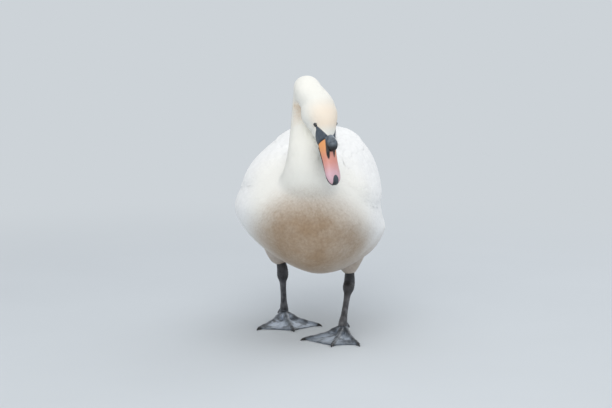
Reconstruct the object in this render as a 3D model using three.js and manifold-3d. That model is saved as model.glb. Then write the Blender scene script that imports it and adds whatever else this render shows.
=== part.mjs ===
// A life-size mute swan, standing and looking down at something in front of it.
//
// Millimetres, +Z up. The swan faces -Y, its right side is -X and its left side is +X.
// The bird is built in "stance" coordinates, where z = 0 is the floor and x = y = 0 lies under the
// middle of the trunk, and the whole group is then moved so that the origin is the middle of its
// bounding box at floor level.
//
// Most of the bird is lofted: a table of stations gives a centre and the reach of an oval section
// to each side, up and down, and a smooth curve through the stations gives every section between.

import * as THREE from "three";
import { mergeVertices } from "three/addons/utils/BufferGeometryUtils.js";
import Module from "manifold-3d";

const wasm = await Module();
wasm.setup();

// ---------------------------------------------------------------- driving dimensions

const GAP = 0.3; // clear distance between touching pieces
const RAD = Math.PI / 180;

// The trunk turns about a point in its middle: it rolls down to its left as the left leg takes
// the weight, and its breast points a little to its right.
const TRUNK_PIVOT = new THREE.Vector3(0, 0, 298);
const TRUNK_ROLL = 8 * RAD;
const TRUNK_YAW = 4 * RAD;

// Trunk stations, front to rear: y, height of the widest line, half width, reach up, reach down.
const TRUNK = [
  [-296, 305, 0, 0, 0],
  [-285, 303, 60, 54, 60],
  [-250, 298, 108, 100, 104],
  [-180, 290, 148, 138, 124],
  [-90, 281, 169, 163, 131],
  [10, 280, 170, 172, 130],
  [110, 290, 153, 163, 124],
  [200, 312, 118, 130, 104],
  [270, 334, 79, 88, 76],
  [325, 350, 47, 46, 42],
  [356, 358, 22, 18, 18],
  [363, 360, 0, 0, 0],
];
// How full the sections are: 2 is an ellipse, and less is leaner. The back slopes like a roof
// under the wings, and the belly runs down to a keel that leans towards the forward leg.
const BACK_FULLNESS = 1.62;
const BELLY_FULLNESS = 1.7;
const KEEL_LEAN = 36;
const KEEL_DEPTH = 131; // depth of the belly where the keel leans the most
// The left flank is puffed out over the hip, between the wing's edge and the thigh.
const FLANK_PUFF = 12;
const FLANK_LENGTH = 110;
const FLANK_TOP = [10, -12]; // degrees below the widest line, where it starts and is full
const FLANK_FOOT = [-56, -30];

// Folded wings: the shell that they form over the rear of the trunk, in the same columns.
const MANTLE = [
  [-230, 296, 108, 112, 120],
  [-120, 283, 136, 158, 150],
  [0, 280, 154, 184, 150],
  [100, 288, 150, 180, 140],
  [200, 309, 128, 146, 120],
  [290, 334, 96, 96, 90],
  [360, 350, 66, 56, 60],
  [420, 358, 42, 32, 36],
  [465, 361, 24, 18, 20],
];
const WING_LIFT = { left: 14, right: 2 }; // the left wing is held a little off the back
const WING_FRONT = -205;
const WING_REAR = 452;
const WING_THICKNESS = 17;
const WING_EDGE = 3;
const WING_CLEARANCE = 1; // more than the sag of a facet, so that wing and trunk stay apart
const MANTLE_BLEND = 5; // how softly the wing leaves the trunk for the mantle's shell
// Share of the wing's length, angle of the lower edge, angle of the upper edge, in degrees
// round the trunk from its widest line.
const WING_EDGES = [
  [0, 28, 44],
  [0.12, 18, 60],
  [0.3, 16, 74],
  [0.5, 11, 82],
  [0.7, 8, 86],
  [0.85, 13, 86],
  [0.94, 24, 84],
  [1, 42, 74],
];

// Tail stations: y, z, half width, half thickness.
const TAIL = [
  [290, 342, 44, 17],
  [350, 348, 60, 13],
  [410, 350, 62, 8],
  [460, 350, 47, 5],
  [497, 350, 26, 3],
  [516, 350, 10, 2],
];

// Neck stations, trunk to nape: x, y, z, turn of the section (degrees to the swan's left),
// half width, reach to the back of the neck, reach to the throat.
const HEAD_YAW = 30; // the head turns to the swan's left
const HEAD_PITCH = 66; // and its bill points this far below level
const EYE_LINE = new THREE.Vector3(26, -303, 507); // the head's axis between the eyes
const NECK = [
  [-2, -140, 312, 0, 96, 86, 84],
  [-5, -203, 345, 0, 80, 70, 70],
  [-9, -257, 391, 0, 58, 50, 52],
  [-11, -266, 441, 0, 43, 38, 41],
  [-12, -233, 490, 0, 35, 32, 35],
  [-12, -187, 532, 2, 31.5, 29, 30],
  [-11, -195, 568, 8, 29, 27.5, 29],
  [-10, -230, 584, 15, 29.5, 26.5, 31],
  [-3, -266, 575, 23, 32, 27, 36],
];

// Head stations on its straight axis, from the eye line: distance forward, half width, reach up
// to the crown, reach down to the throat.
const HEAD = [
  [-50, 34, 28.5, 40],
  [-37, 36.5, 31, 43],
  [-23, 37, 32.5, 43],
  [-9, 33.5, 33, 39],
  [4, 28, 31, 34],
  [16, 24.5, 28, 29],
  [28, 22, 24, 25],
  [38, 20.5, 20.5, 22],
];
const CHEEK = 5; // how far the cheeks stand out of the head's ovals
const CHEEK_AT = 1.5; // rows of the table from the nape to the middle of the cheeks
const CHEEK_DROP = 30; // degrees below the head's widest line
const BILL_SLANT = 0.28; // the bill's base lies further forward at the gape than at the forehead

// Upper bill: distance forward, half width, height of the ridge, height of the cutting edge.
const BILL_TOP = [
  [38, 20, 20, -5],
  [50, 19, 16.5, -6.5],
  [64, 18, 12.5, -7],
  [80, 17.4, 9.5, -6.8],
  [96, 17.6, 7.5, -6.5],
  [110, 17.8, 6, -6.5],
  [120, 16.4, 4.8, -7],
  [127, 12.8, 2.8, -7.6],
  [131, 8, -0.2, -8.4],
  [132.5, 3, -4, -8.6],
];
// Lower bill: distance forward, half width, height of its upper face, height of its lower face.
const BILL_LOW = [
  [40, 13.6, -5.6, -18],
  [54, 14.4, -7.4, -15.6],
  [70, 14.8, -7.8, -13.6],
  [90, 15, -7.4, -12],
  [108, 14.8, -7.2, -11],
  [118, 13, -7.6, -10.4],
  [124, 8.5, -8.2, -10],
];
const KNOB_AT = [50, 24]; // forward, up
const KNOB_RADII = [15, 12, 12]; // along the bill, across, up
const NAIL_AT = 124; // middle of the nail, forward of the eye line
const NAIL_RADII = [11.5, 7.4];

const EYE_RADIUS = 5.6;
const EYE_SIDE = 23.6;
const EYE_UP = 10;

// Legs. Every place is in stance coordinates, and x is counted from the middle of the bird.
const THIGH_RADII = [61, 49, 29, 14.5];
const LEGS = {
  left: {
    side: 1,
    heading: -11, // the way the middle toe points, degrees from straight ahead to the bird's left
    spread: { outer: 25, middle: 0, inner: -41 }, // toes from the middle one, outwards
    foot: [74, -76],
    ankle: [89, -9, 104],
    thigh: [[78, 4, 214], [85, -3, 180], [89, -9, 152], [90.5, -12, 133]],
  },
  right: {
    side: -1,
    heading: 9.5,
    spread: { outer: 35, middle: 0, inner: -37 },
    foot: [-64, 93],
    ankle: [-67, 50, 123],
    thigh: [[-60, 42, 224], [-71, 45, 193], [-75, 48, 165], [-71, 50, 147]],
  },
};
const KNUCKLE_HEIGHT = 27; // where the shank meets the toes
const KNUCKLE_UP = 10.8; // the middle of the knuckle, which is flat where it stands on the floor
const KNUCKLE_RADIUS = 13;
const TOE_LENGTHS = { outer: 132, middle: 138, inner: 112 }; // to the base of the claw
// Toe stations: share of the toe's length, height of its middle line, radius.
const TOE_STATIONS = [
  [-0.03, 16, 8],
  [0.16, 12, 8],
  [0.4, 5.8, 6.3],
  [0.7, 3.4, 5.2],
  [1, 2.8, 4.3],
];
// Claw stations: distance past the end of the toe, height of its middle line, radius.
const CLAW_STATIONS = [
  [0.5, 3.2, 2.9],
  [6, 3, 2.4],
  [12, 1.5, 0.9],
];
// Leg stations: share of the way from the ankle to the knuckle, half width, half depth.
const LEG_STATIONS = [
  [-0.08, 12.6, 12.5],
  [0.1, 12.8, 12.5],
  [0.26, 8, 10],
  [0.5, 6.8, 9],
  [0.78, 7.2, 9],
  [0.92, 8.8, 10],
  [1.05, 10, 10.5],
];
const LEG_TOP_RADIUS = 10.5; // where the bare leg goes into the feathers of the thigh
const WEB_EDGE = 3; // height of the web's front edge
const WEB_UNDER = 0.8; // its underside, so that the bird stands on its toes
const WEB_RISE = 18; // how much higher the web is at the knuckle
const WEB_SCALLOP = 0.06; // how far its front edge curves in, as a share of the toes' length
const CLAW_FLOOR = 0.2; // claws stay just clear of the floor
const HIND_TOE_TURN = 25; // degrees inwards from straight back
// Hind toe stations: distance behind the knuckle's middle, height, radius.
const HIND_TOE_STATIONS = [
  [7, 27, 4],
  [15, 21, 4],
  [25, 13, 2.6],
];

// ---------------------------------------------------------------- tools for lofted solids

// Smooth value of each column at s, counted in rows. Where the loft closes to a point its radii
// change sign beyond the end, and the other columns are mirrored, so that the end is round.
function smooth(rows, s, radii = null) {
  const last = rows.length - 1;
  const beyond = (end, next) =>
    end.map((v, k) => {
      if (!radii) return 2 * v - next[k];
      return radii.includes(k) ? -next[k] : next[k];
    });
  const row = (i) => {
    if (i < 0) return beyond(rows[0], rows[1]);
    return i > last ? beyond(rows[last], rows[last - 1]) : rows[i];
  };
  const i = Math.min(Math.floor(s), last - 1);
  const t = s - i;
  const [a, b, c, d] = [row(i - 1), row(i), row(i + 1), row(i + 2)];
  return b.map(
    (v, k) =>
      v +
      0.5 * t * (c[k] - a[k] +
        t * (2 * a[k] - 5 * v + 4 * c[k] - d[k] + t * (3 * (v - c[k]) + d[k] - a[k]))),
  );
}

// The s at which the first column of a closed table has the wanted value.
function rowAt(rows, wanted, radii) {
  let [low, high] = [0, rows.length - 1];
  for (let n = 0; n < 40; n++) {
    const mid = (low + high) / 2;
    if (smooth(rows, mid, radii)[0] < wanted) low = mid;
    else high = mid;
  }
  return (low + high) / 2;
}

// One closed solid from rings with the same number of points, each end closed by a fan. The rings
// run anticlockwise when seen from the end of the loft.
function loft(rings) {
  const sides = rings[0].length;
  const middle = (ring) =>
    ring.reduce((sum, p) => sum.add(p), new THREE.Vector3()).divideScalar(sides);
  const points = [...rings.flat(), middle(rings[0]), middle(rings.at(-1))];
  const faces = [];
  rings.slice(1).forEach((_, r) => {
    for (let k = 0; k < sides; k++) {
      const next = (k + 1) % sides;
      const [a, b] = [r * sides + k, r * sides + next];
      faces.push(a, b, b + sides, a, b + sides, a + sides);
    }
  });
  const [front, back] = [points.length - 2, points.length - 1];
  const lastRing = (rings.length - 1) * sides;
  for (let k = 0; k < sides; k++) {
    const next = (k + 1) % sides;
    faces.push(front, next, k, back, lastRing + k, lastRing + next);
  }
  return new THREE.BufferGeometry().setFromPoints(points).setIndex(faces);
}

function solid(geometry) {
  const bare = geometry.clone();
  bare.deleteAttribute("normal");
  bare.deleteAttribute("uv");
  const merged = mergeVertices(bare, 1e-4);
  return new wasm.Manifold(new wasm.Mesh({
    numProp: 3,
    vertProperties: new Float32Array(merged.attributes.position.array),
    triVerts: new Uint32Array(merged.index.array),
  }));
}

function geometryOf(manifold) {
  const largest = manifold.decompose().sort((a, b) => b.volume() - a.volume())[0];
  const made = largest.getMesh();
  const points = [];
  for (let k = 0; k < made.numVert; k++) {
    points.push(new THREE.Vector3().fromArray(made.vertProperties, k * made.numProp));
  }
  return new THREE.BufferGeometry().setFromPoints(points).setIndex([...made.triVerts]);
}

const cut = (geometry, ...tools) =>
  geometryOf(tools.reduce((left, tool) => left.subtract(solid(tool)), solid(geometry)));
const join = (...pieces) =>
  geometryOf(pieces.map(solid).reduce((whole, piece) => whole.add(piece)));

// An oval section about a centre, given the unit vectors to its side and up.
function oval(centre, across, upward, half, up, down, sides) {
  return Array.from({ length: sides }, (_, k) => {
    const angle = (2 * Math.PI * k) / sides;
    const rise = Math.sin(angle);
    return centre.clone()
      .addScaledVector(across, half * Math.cos(angle))
      .addScaledVector(upward, (rise > 0 ? up : down) * rise);
  });
}

const ACROSS = new THREE.Vector3(1, 0, 0);

// A tube through rows of x, y, z and radius, or x, y, z, half width, half depth. Its sections
// stand square to its centre line and keep their width across the bird. Where a floor is given,
// the tube is flat against it.
function limb(rows, { steps, sides, grow = 0, floor = null }) {
  const last = rows.length - 1;
  const rings = Array.from({ length: steps + 1 }, (_, n) => {
    const s = (last * n) / steps;
    const [x, y, z, half, depth = half] = smooth(rows, s);
    const centre = new THREE.Vector3(x, y, z);
    const ahead = new THREE.Vector3(...smooth(rows, Math.min(s + 0.02, last)).slice(0, 3));
    const behind = new THREE.Vector3(...smooth(rows, Math.max(s - 0.02, 0)).slice(0, 3));
    const tangent = ahead.sub(behind).normalize();
    const upward = tangent.clone().cross(ACROSS).normalize();
    const side = upward.clone().cross(tangent).normalize();
    const ring = oval(centre, side, upward, half + grow, depth + grow, depth + grow, sides);
    if (floor !== null) ring.forEach((p) => { p.z = Math.max(p.z, floor); });
    return ring;
  });
  return loft(rings);
}

// ---------------------------------------------------------------- trunk, wings and tail

const TRUNK_RADII = [2, 3, 4];

// A soft step: 0 at the first of two angles and 1 from the second on.
const step = (turn, [from, to]) => {
  const t = Math.min(1, Math.max(0, (turn - from) / (to - from)));
  return t * t * (3 - 2 * t);
};

const power = (v, fullness) => Math.sign(v) * Math.abs(v) ** (2 / fullness);

function trunkGeometry({ steps = 29, sides = 26, grow = 0 } = {}) {
  const last = TRUNK.length - 1;
  const rings = [];
  for (let n = 1; n < steps; n++) {
    const [y, z, half, up, down] = smooth(TRUNK, (last * n) / steps, TRUNK_RADII);
    rings.push(Array.from({ length: sides }, (_, k) => {
      const angle = (-2 * Math.PI * k) / sides;
      const [c, s] = [Math.cos(angle), Math.sin(angle)];
      const fullness = s > 0 ? BACK_FULLNESS : BELLY_FULLNESS;
      const lean = s > 0 ? 0 : KEEL_LEAN * s ** 2 * (down / KEEL_DEPTH);
      const turn = Math.atan2(s, c) / RAD;
      const puff = FLANK_PUFF * Math.exp(-((y / FLANK_LENGTH) ** 2))
        * step(turn, FLANK_TOP) * step(turn, FLANK_FOOT);
      return new THREE.Vector3(
        (half + grow) * power(c, fullness) + lean + puff,
        y,
        z + ((s > 0 ? up : down) + grow) * power(s, fullness),
      );
    }));
  }
  return loft(rings);
}

// Distance from a point on the middle plane, at height z, to the edge of an oval section.
function reach([centre, half, up, down], z, angle, fullness) {
  const [c, s] = [Math.cos(angle), Math.sin(angle)];
  let [near, far] = [0, 400];
  for (let n = 0; n < 24; n++) {
    const r = (near + far) / 2;
    const height = z + r * s - centre;
    const share = ((r * c) / half) ** fullness
      + (Math.abs(height) / (height > 0 ? up : down)) ** fullness;
    if (share > 1) far = r;
    else near = r;
  }
  return near;
}

const sectionAt = (rows, y, radii = null) => smooth(rows, rowAt(rows, y, radii), radii).slice(1);

// Angles of a wing's lower and upper edges at a share of its length.
function wingEdges(share) {
  const found = WING_EDGES.findLastIndex((row) => row[0] <= share);
  const from = Math.min(found, WING_EDGES.length - 2);
  const part = (share - WING_EDGES[from][0]) / (WING_EDGES[from + 1][0] - WING_EDGES[from][0]);
  return smooth(WING_EDGES, from + part).slice(1).map((degrees) => degrees * RAD);
}

// One folded wing. It lies on the trunk as a shell that is thick over the arm and thin at its
// edges, and leaves the trunk where the trunk tapers faster than the mantle's own shell.
function wingGeometry(side, lift, along = 18, round = 7) {
  const trunkEnd = TRUNK.at(-1)[0] - 2;
  const [outer, inner] = [[], []];
  for (let i = 0; i <= along; i++) {
    const share = i / along;
    const y = WING_FRONT + (WING_REAR - WING_FRONT) * share;
    const [lower, upper] = wingEdges(share);
    const mantle = sectionAt(MANTLE, y);
    const trunk = sectionAt(TRUNK, Math.min(y, trunkEnd), TRUNK_RADII);
    for (let j = 0; j <= round; j++) {
      const v = j / round;
      const angle = lower + (upper - lower) * v;
      const full = Math.sqrt(Math.sin(Math.PI * v) * Math.sin(Math.PI * share));
      const thick = WING_EDGE + (WING_THICKNESS - WING_EDGE) * full;
      const onTrunk = reach(trunk, mantle[0], angle, BACK_FULLNESS) + WING_CLEARANCE + thick;
      const shell = reach(mantle, mantle[0], angle, 2) + lift * full;
      const out = (onTrunk + shell + Math.hypot(onTrunk - shell, MANTLE_BLEND)) / 2;
      const point = (r) => new THREE.Vector3(
        side * r * Math.cos(angle), y, mantle[0] + r * Math.sin(angle),
      );
      outer.push(point(out));
      inner.push(point(out - thick));
    }
  }
  const width = round + 1;
  const faces = [];
  const quad = (a, b, c, d) => {
    if (side > 0) faces.push(a, b, c, a, c, d);
    else faces.push(a, c, b, a, d, c);
  };
  const under = outer.length;
  for (let i = 0; i < along; i++) {
    for (let j = 0; j < round; j++) {
      const [a, b] = [i * width + j, i * width + j + 1];
      quad(a, a + width, b + width, b);
      quad(under + a, under + b, under + b + width, under + a + width);
    }
    const [low, high] = [i * width, i * width + round];
    quad(low, under + low, under + low + width, low + width);
    quad(high, high + width, under + high + width, under + high);
  }
  for (let j = 0; j < round; j++) {
    const rear = along * width + j;
    quad(j, j + 1, under + j + 1, under + j);
    quad(rear, under + rear, under + rear + 1, rear + 1);
  }
  return new THREE.BufferGeometry().setFromPoints([...outer, ...inner]).setIndex(faces);
}

function tailGeometry() {
  const rows = TAIL.map(([y, z, half, depth]) => [0, y, z, half, depth]);
  return limb(rows, { steps: 7, sides: 10 });
}

// ---------------------------------------------------------------- neck and head

const FORWARD = new THREE.Vector3(
  Math.sin(HEAD_YAW * RAD) * Math.cos(HEAD_PITCH * RAD),
  -Math.cos(HEAD_YAW * RAD) * Math.cos(HEAD_PITCH * RAD),
  -Math.sin(HEAD_PITCH * RAD),
);
const TO_LEFT = new THREE.Vector3(Math.cos(HEAD_YAW * RAD), Math.sin(HEAD_YAW * RAD), 0);
const TO_CROWN = FORWARD.clone().cross(TO_LEFT).normalize();

const inHead = (forward, side, up) =>
  EYE_LINE.clone()
    .addScaledVector(FORWARD, forward)
    .addScaledVector(TO_LEFT, side)
    .addScaledVector(TO_CROWN, up);

// Neck and head are one long loft, so that they run into each other, and are parted square to it.
const SPINE = [
  ...NECK,
  ...HEAD.map(([forward, half, up, down]) => [
    ...inHead(forward, 0, 0).toArray(), HEAD_YAW, half, up, down,
  ]),
];
const NAPE = NECK.length; // row of the first head station
const MUZZLE = SPINE.length - 1;

function spineRing(s, sides, grow = 0) {
  const [x, y, z, turn, half, back, throat] = smooth(SPINE, s);
  const step = (t) => new THREE.Vector3(...smooth(SPINE, t).slice(0, 3));
  const tangent = step(s + 0.02).sub(step(s - 0.02)).normalize();
  const left = new THREE.Vector3(Math.cos(turn * RAD), Math.sin(turn * RAD), 0);
  const backward = tangent.clone().cross(left).normalize();
  const across = backward.clone().cross(tangent).normalize();
  const ring = oval(
    new THREE.Vector3(x, y, z), across, backward, half + grow, back + grow, throat + grow, sides,
  );
  const slant = BILL_SLANT * Math.max(0, (s - MUZZLE + 3) / 3);
  const centre = new THREE.Vector3(x, y, z);
  const cheek = CHEEK * Math.exp(-(((s - NAPE - CHEEK_AT) / 1.5) ** 2));
  ring.forEach((p) => {
    const arm = p.clone().sub(centre);
    const height = arm.dot(backward);
    const angle = Math.atan2(height, Math.abs(arm.dot(across)));
    const bulge = cheek * Math.max(0, Math.cos(angle + CHEEK_DROP * RAD)) ** 4;
    p.addScaledVector(arm.normalize(), bulge).addScaledVector(tangent, -slant * height);
  });
  return ring;
}

function spinePiece(from, to, steps, sides, grow = 0) {
  return loft(Array.from({ length: steps + 1 }, (_, n) =>
    spineRing(from + ((to - from) * n) / steps, sides, grow)));
}

const SPINE_SIDES = 18;
const PARTING = GAP / 14; // the gap counted in rows of the neck's table, at its closest rows

// A bill section: a low arch over a flat underside, from half width and two heights.
function billRing(forward, half, top, bottom, sides, grow = 0) {
  const rise = top - bottom;
  return Array.from({ length: sides }, (_, k) => {
    const angle = (2 * Math.PI * k) / sides;
    const [c, s] = [Math.cos(angle), Math.sin(angle)];
    const side = (half + grow) * Math.sign(c) * Math.abs(c) ** 0.8;
    const arch = s > 0 ? (rise + grow) * s ** 1.1 : -(0.6 + grow) * Math.abs(s) ** 0.5;
    const up = bottom + 0.6 + arch * (s > 0 ? 1 - 0.6 / rise : 1);
    return inHead(forward - BILL_SLANT * up * Math.max(0, (52 - forward) / 14), side, up);
  });
}

function billGeometry(rows, { steps, sides, grow = 0 }) {
  const last = rows.length - 1;
  return loft(Array.from({ length: steps + 1 }, (_, n) => {
    const [forward, half, top, bottom] = smooth(rows, (last * n) / steps);
    return billRing(forward, half, top, bottom, sides, grow);
  }));
}

function ball(centre, radius, sides = 10) {
  return new THREE.SphereGeometry(radius, sides, Math.round(sides * 0.7)).translate(
    centre.x, centre.y, centre.z);
}

// The black knob over the base of the bill, an ellipsoid in line with the bill.
function knobGeometry() {
  const frame = new THREE.Matrix4().makeBasis(FORWARD, TO_LEFT, TO_CROWN)
    .setPosition(inHead(KNOB_AT[0], 0, KNOB_AT[1]));
  return new THREE.SphereGeometry(1, 14, 8).scale(...KNOB_RADII).applyMatrix4(frame);
}

// A stub through the tip of the bill, whose plan is the outline of the nail.
function nailCutter(grow = 0) {
  const frame = new THREE.Matrix4().makeBasis(FORWARD, TO_LEFT, TO_CROWN)
    .setPosition(inHead(NAIL_AT, 0, 0));
  return new THREE.CylinderGeometry(1, 1, 40, 14).rotateX(Math.PI / 2)
    .scale(NAIL_RADII[0] + grow, NAIL_RADII[1] + grow, 1).applyMatrix4(frame);
}

// ---------------------------------------------------------------- legs

const thighGeometry = ({ thigh }, grow = 0) =>
  limb(thigh.map((p, k) => [...p, THIGH_RADII[k]]), { steps: 7, sides: 14, grow });

// Bare leg: from inside the thigh's hem over the ankle joint and down the shank to the knuckle.
function legGeometry({ thigh, ankle, foot }, grow = 0) {
  const hem = thigh.at(-1);
  const knuckle = [...foot, KNUCKLE_HEIGHT];
  const between = (share) => ankle.map((v, k) => v + (knuckle[k] - v) * share);
  return limb([
    [hem[0], hem[1], hem[2] - 2 * GAP, LEG_TOP_RADIUS, LEG_TOP_RADIUS],
    ...LEG_STATIONS.map(([share, half, depth]) => [...between(share), half, depth]),
  ], { steps: 12, sides: 9, grow });
}

// Points of a toe, from the knuckle to the claw, by its angle and length.
function toeRows({ side, heading, spread, foot }, toe) {
  const angle = (heading + side * spread[toe]) * RAD;
  const length = TOE_LENGTHS[toe];
  const at = (share, z, radius) => [
    foot[0] + Math.sin(angle) * length * share,
    foot[1] - Math.cos(angle) * length * share,
    z,
    radius,
  ];
  return TOE_STATIONS.map(([share, height, radius]) => at(share, height, radius));
}

const toeGeometry = (leg, toe, grow = 0) =>
  limb(toeRows(leg, toe), { steps: 5, sides: 8, grow, floor: 0 });

// The web between two toes: a sheet that falls from the toes' height to a thin front edge, and
// whose edge curves in between the toes.
function webGeometry({ side, heading, spread, foot }, fromToe, toToe, grow = 0) {
  const [along, fan] = [4, 5];
  const mix = (table, v) => table[fromToe] + (table[toToe] - table[fromToe]) * v;
  const rings = [];
  for (let j = 0; j <= fan; j++) {
    const v = j / fan;
    const bow = Math.sin(Math.PI * v);
    const angle = (heading + side * mix(spread, v)) * RAD;
    const edge = mix(TOE_LENGTHS, v) * (0.97 - WEB_SCALLOP * bow);
    const [upper, under] = [[], []];
    for (let i = 0; i <= along; i++) {
      const share = 0.04 + (0.96 * i) / along;
      const height = WEB_EDGE + WEB_RISE * (1 - share) ** 2 * (1 - 0.45 * bow);
      const at = (z) => new THREE.Vector3(
        foot[0] + Math.sin(angle) * edge * share, foot[1] - Math.cos(angle) * edge * share, z,
      );
      upper.push(at(height + grow));
      under.push(at(WEB_UNDER - grow));
    }
    rings.push([...upper, ...under.reverse()]);
  }
  return loft(side < 0 ? rings : rings.map((ring) => ring.reverse()));
}

function footGeometry(leg, grow = 0) {
  const { foot } = leg;
  const knuckle = ball(new THREE.Vector3(foot[0], foot[1], KNUCKLE_UP), KNUCKLE_RADIUS + grow, 12);
  knuckle.attributes.position.array.forEach((v, k, all) => {
    if (k % 3 === 2) all[k] = Math.max(v, 0);
  });
  return join(
    knuckle,
    ...Object.keys(TOE_LENGTHS).map((toe) => toeGeometry(leg, toe, grow)),
    webGeometry(leg, "outer", "middle", grow),
    webGeometry(leg, "middle", "inner", grow),
  );
}

// A claw as a cone that carries on from the end of a toe and bends down to the floor.
function clawGeometry(leg, toe) {
  const rows = toeRows(leg, toe);
  const [from, to] = [rows.at(-2), rows.at(-1)];
  const length = Math.hypot(to[0] - from[0], to[1] - from[1]);
  const along = [(to[0] - from[0]) / length, (to[1] - from[1]) / length];
  return limb(CLAW_STATIONS.map(([distance, height, radius]) =>
    [to[0] + along[0] * distance, to[1] + along[1] * distance, height, radius],
  ), { steps: 3, sides: 6, floor: CLAW_FLOOR });
}

// The small hind toe stands off the back of the shank, clear of the floor.
function hindToeGeometry({ side, heading, foot }) {
  const angle = (heading - side * HIND_TOE_TURN) * RAD;
  const rows = HIND_TOE_STATIONS.map(([distance, height, radius]) => [
    foot[0] - Math.sin(angle) * distance, foot[1] + Math.cos(angle) * distance, height, radius,
  ]);
  return limb(rows, { steps: 4, sides: 8 });
}

// ---------------------------------------------------------------- materials and assembly

const finish = (color, roughness, metalness = 0) =>
  new THREE.MeshStandardMaterial({ color, roughness, metalness });
const PLUMAGE = finish("#ece8df", 0.9);
const FACE_SKIN = finish("#26282c", 0.55);
const BILL_HORN = finish("#e8906a", 0.42);
const NAIL_HORN = finish("#2a2a2c", 0.4);
const LEG_SKIN = finish("#34343a", 0.6);
const CLAW_HORN = finish("#1d1d20", 0.45);
const EYE = finish("#120d0a", 0.08);

const swan = new THREE.Group();
const stance = new THREE.Group();
const body = new THREE.Group(); // the trunk, its wings and its tail, rolled and turned together
swan.add(stance);
stance.add(body);
body.position.copy(TRUNK_PIVOT);
body.rotation.set(0, TRUNK_ROLL, -TRUNK_YAW, "ZYX");

function add(name, geometry, material, parent = stance) {
  const mesh = new THREE.Mesh(geometry, material);
  mesh.name = name;
  parent.add(mesh);
  return mesh;
}

// The trunk's group turns about its pivot, so its pieces are shifted to it.
const toPivot = (geometry) => geometry.translate(...TRUNK_PIVOT.clone().negate().toArray());
// The same trunk, grown by the gap, in stance coordinates, cuts what stands in it.
body.updateMatrix();
const trunkCutter = toPivot(trunkGeometry({ grow: GAP })).applyMatrix4(body.matrix);

add("trunk", toPivot(trunkGeometry()), PLUMAGE, body);
add("tail", toPivot(cut(tailGeometry(), trunkGeometry({ grow: GAP }))), PLUMAGE, body);
for (const [name, { side }] of Object.entries(LEGS)) {
  add(`wing_${name}`, toPivot(wingGeometry(side, WING_LIFT[name])), PLUMAGE, body);
}

const neckParts = [["neck_lower", 0.6, 2.9, 7], ["neck_middle", 2.9, 4.6, 5],
  ["neck_upper", 4.6, NAPE + 1.05, 12]];
for (const [name, from, to, steps] of neckParts) {
  const piece = spinePiece(from, to - PARTING, steps, SPINE_SIDES);
  add(name, from < 1 ? cut(piece, trunkCutter) : piece, PLUMAGE);
}

const EYES = { left: 1, right: -1 };
const eyeAt = (side) => inHead(0, side * EYE_SIDE, EYE_UP);
const sockets = Object.values(EYES).map((side) => ball(eyeAt(side), EYE_RADIUS + GAP));
const headPiece = (grow) => spinePiece(NAPE + 1.05, MUZZLE + grow * PARTING / GAP, 9, SPINE_SIDES, grow);
add("head", cut(headPiece(0), ...sockets), PLUMAGE);
for (const [name, side] of Object.entries(EYES)) {
  add(`eye_${name}`, ball(eyeAt(side), EYE_RADIUS), EYE);
}

const top = { steps: 10, sides: 14 };
const upperBill = billGeometry(BILL_TOP, top);
add("bill_upper", cut(upperBill, headPiece(GAP), nailCutter(GAP)), BILL_HORN);
add("bill_nail", geometryOf(solid(upperBill).intersect(solid(nailCutter()))), NAIL_HORN);
add("bill_lower", cut(
  billGeometry(BILL_LOW, { steps: 6, sides: 10 }),
  headPiece(GAP), billGeometry(BILL_TOP, { ...top, grow: GAP }),
), FACE_SKIN);
add("bill_knob", cut(
  knobGeometry(), headPiece(GAP), billGeometry(BILL_TOP, { ...top, grow: GAP }),
), FACE_SKIN);

for (const [name, leg] of Object.entries(LEGS)) {
  add(`thigh_${name}`, cut(thighGeometry(leg), trunkCutter), PLUMAGE);
  add(`leg_${name}`, cut(
    legGeometry(leg), thighGeometry(leg, GAP), footGeometry(leg, GAP),
  ), LEG_SKIN);
  add(`foot_${name}`, footGeometry(leg), LEG_SKIN);
  add(`hind_toe_${name}`, cut(
    hindToeGeometry(leg), legGeometry(leg, GAP), footGeometry(leg, GAP),
  ), LEG_SKIN);
  for (const toe of Object.keys(TOE_LENGTHS)) {
    add(`claw_${toe}_${name}`, cut(clawGeometry(leg, toe), footGeometry(leg, GAP)), CLAW_HORN);
  }
}

// The origin is the middle of the bounding box, at the floor.
swan.updateMatrixWorld(true);
const box = new THREE.Box3().setFromObject(swan, true);
const middle = box.getCenter(new THREE.Vector3());
stance.position.set(-middle.x, -middle.y, -box.min.z);

export default swan;
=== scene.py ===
# %% [markdown]
# # A standing mute swan
#
# The bird is life-size and still. Its solids are already packed as a frame: this file loads them and
# makes what the eye sees: one skin, a coat of feathers that lie on it in rows, bare black skin on the
# face, a bill of horn, wet eyes, and scaly legs with webbed feet.
#
# Lengths in the tables are in millimetres, in the bird's own stance: z = 0 is the floor, -Y is where
# it looks, +X is its left.

# %% The frame
import math

import bmesh
import bpy
import numpy as np
from mathutils import Matrix, Vector


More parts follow.
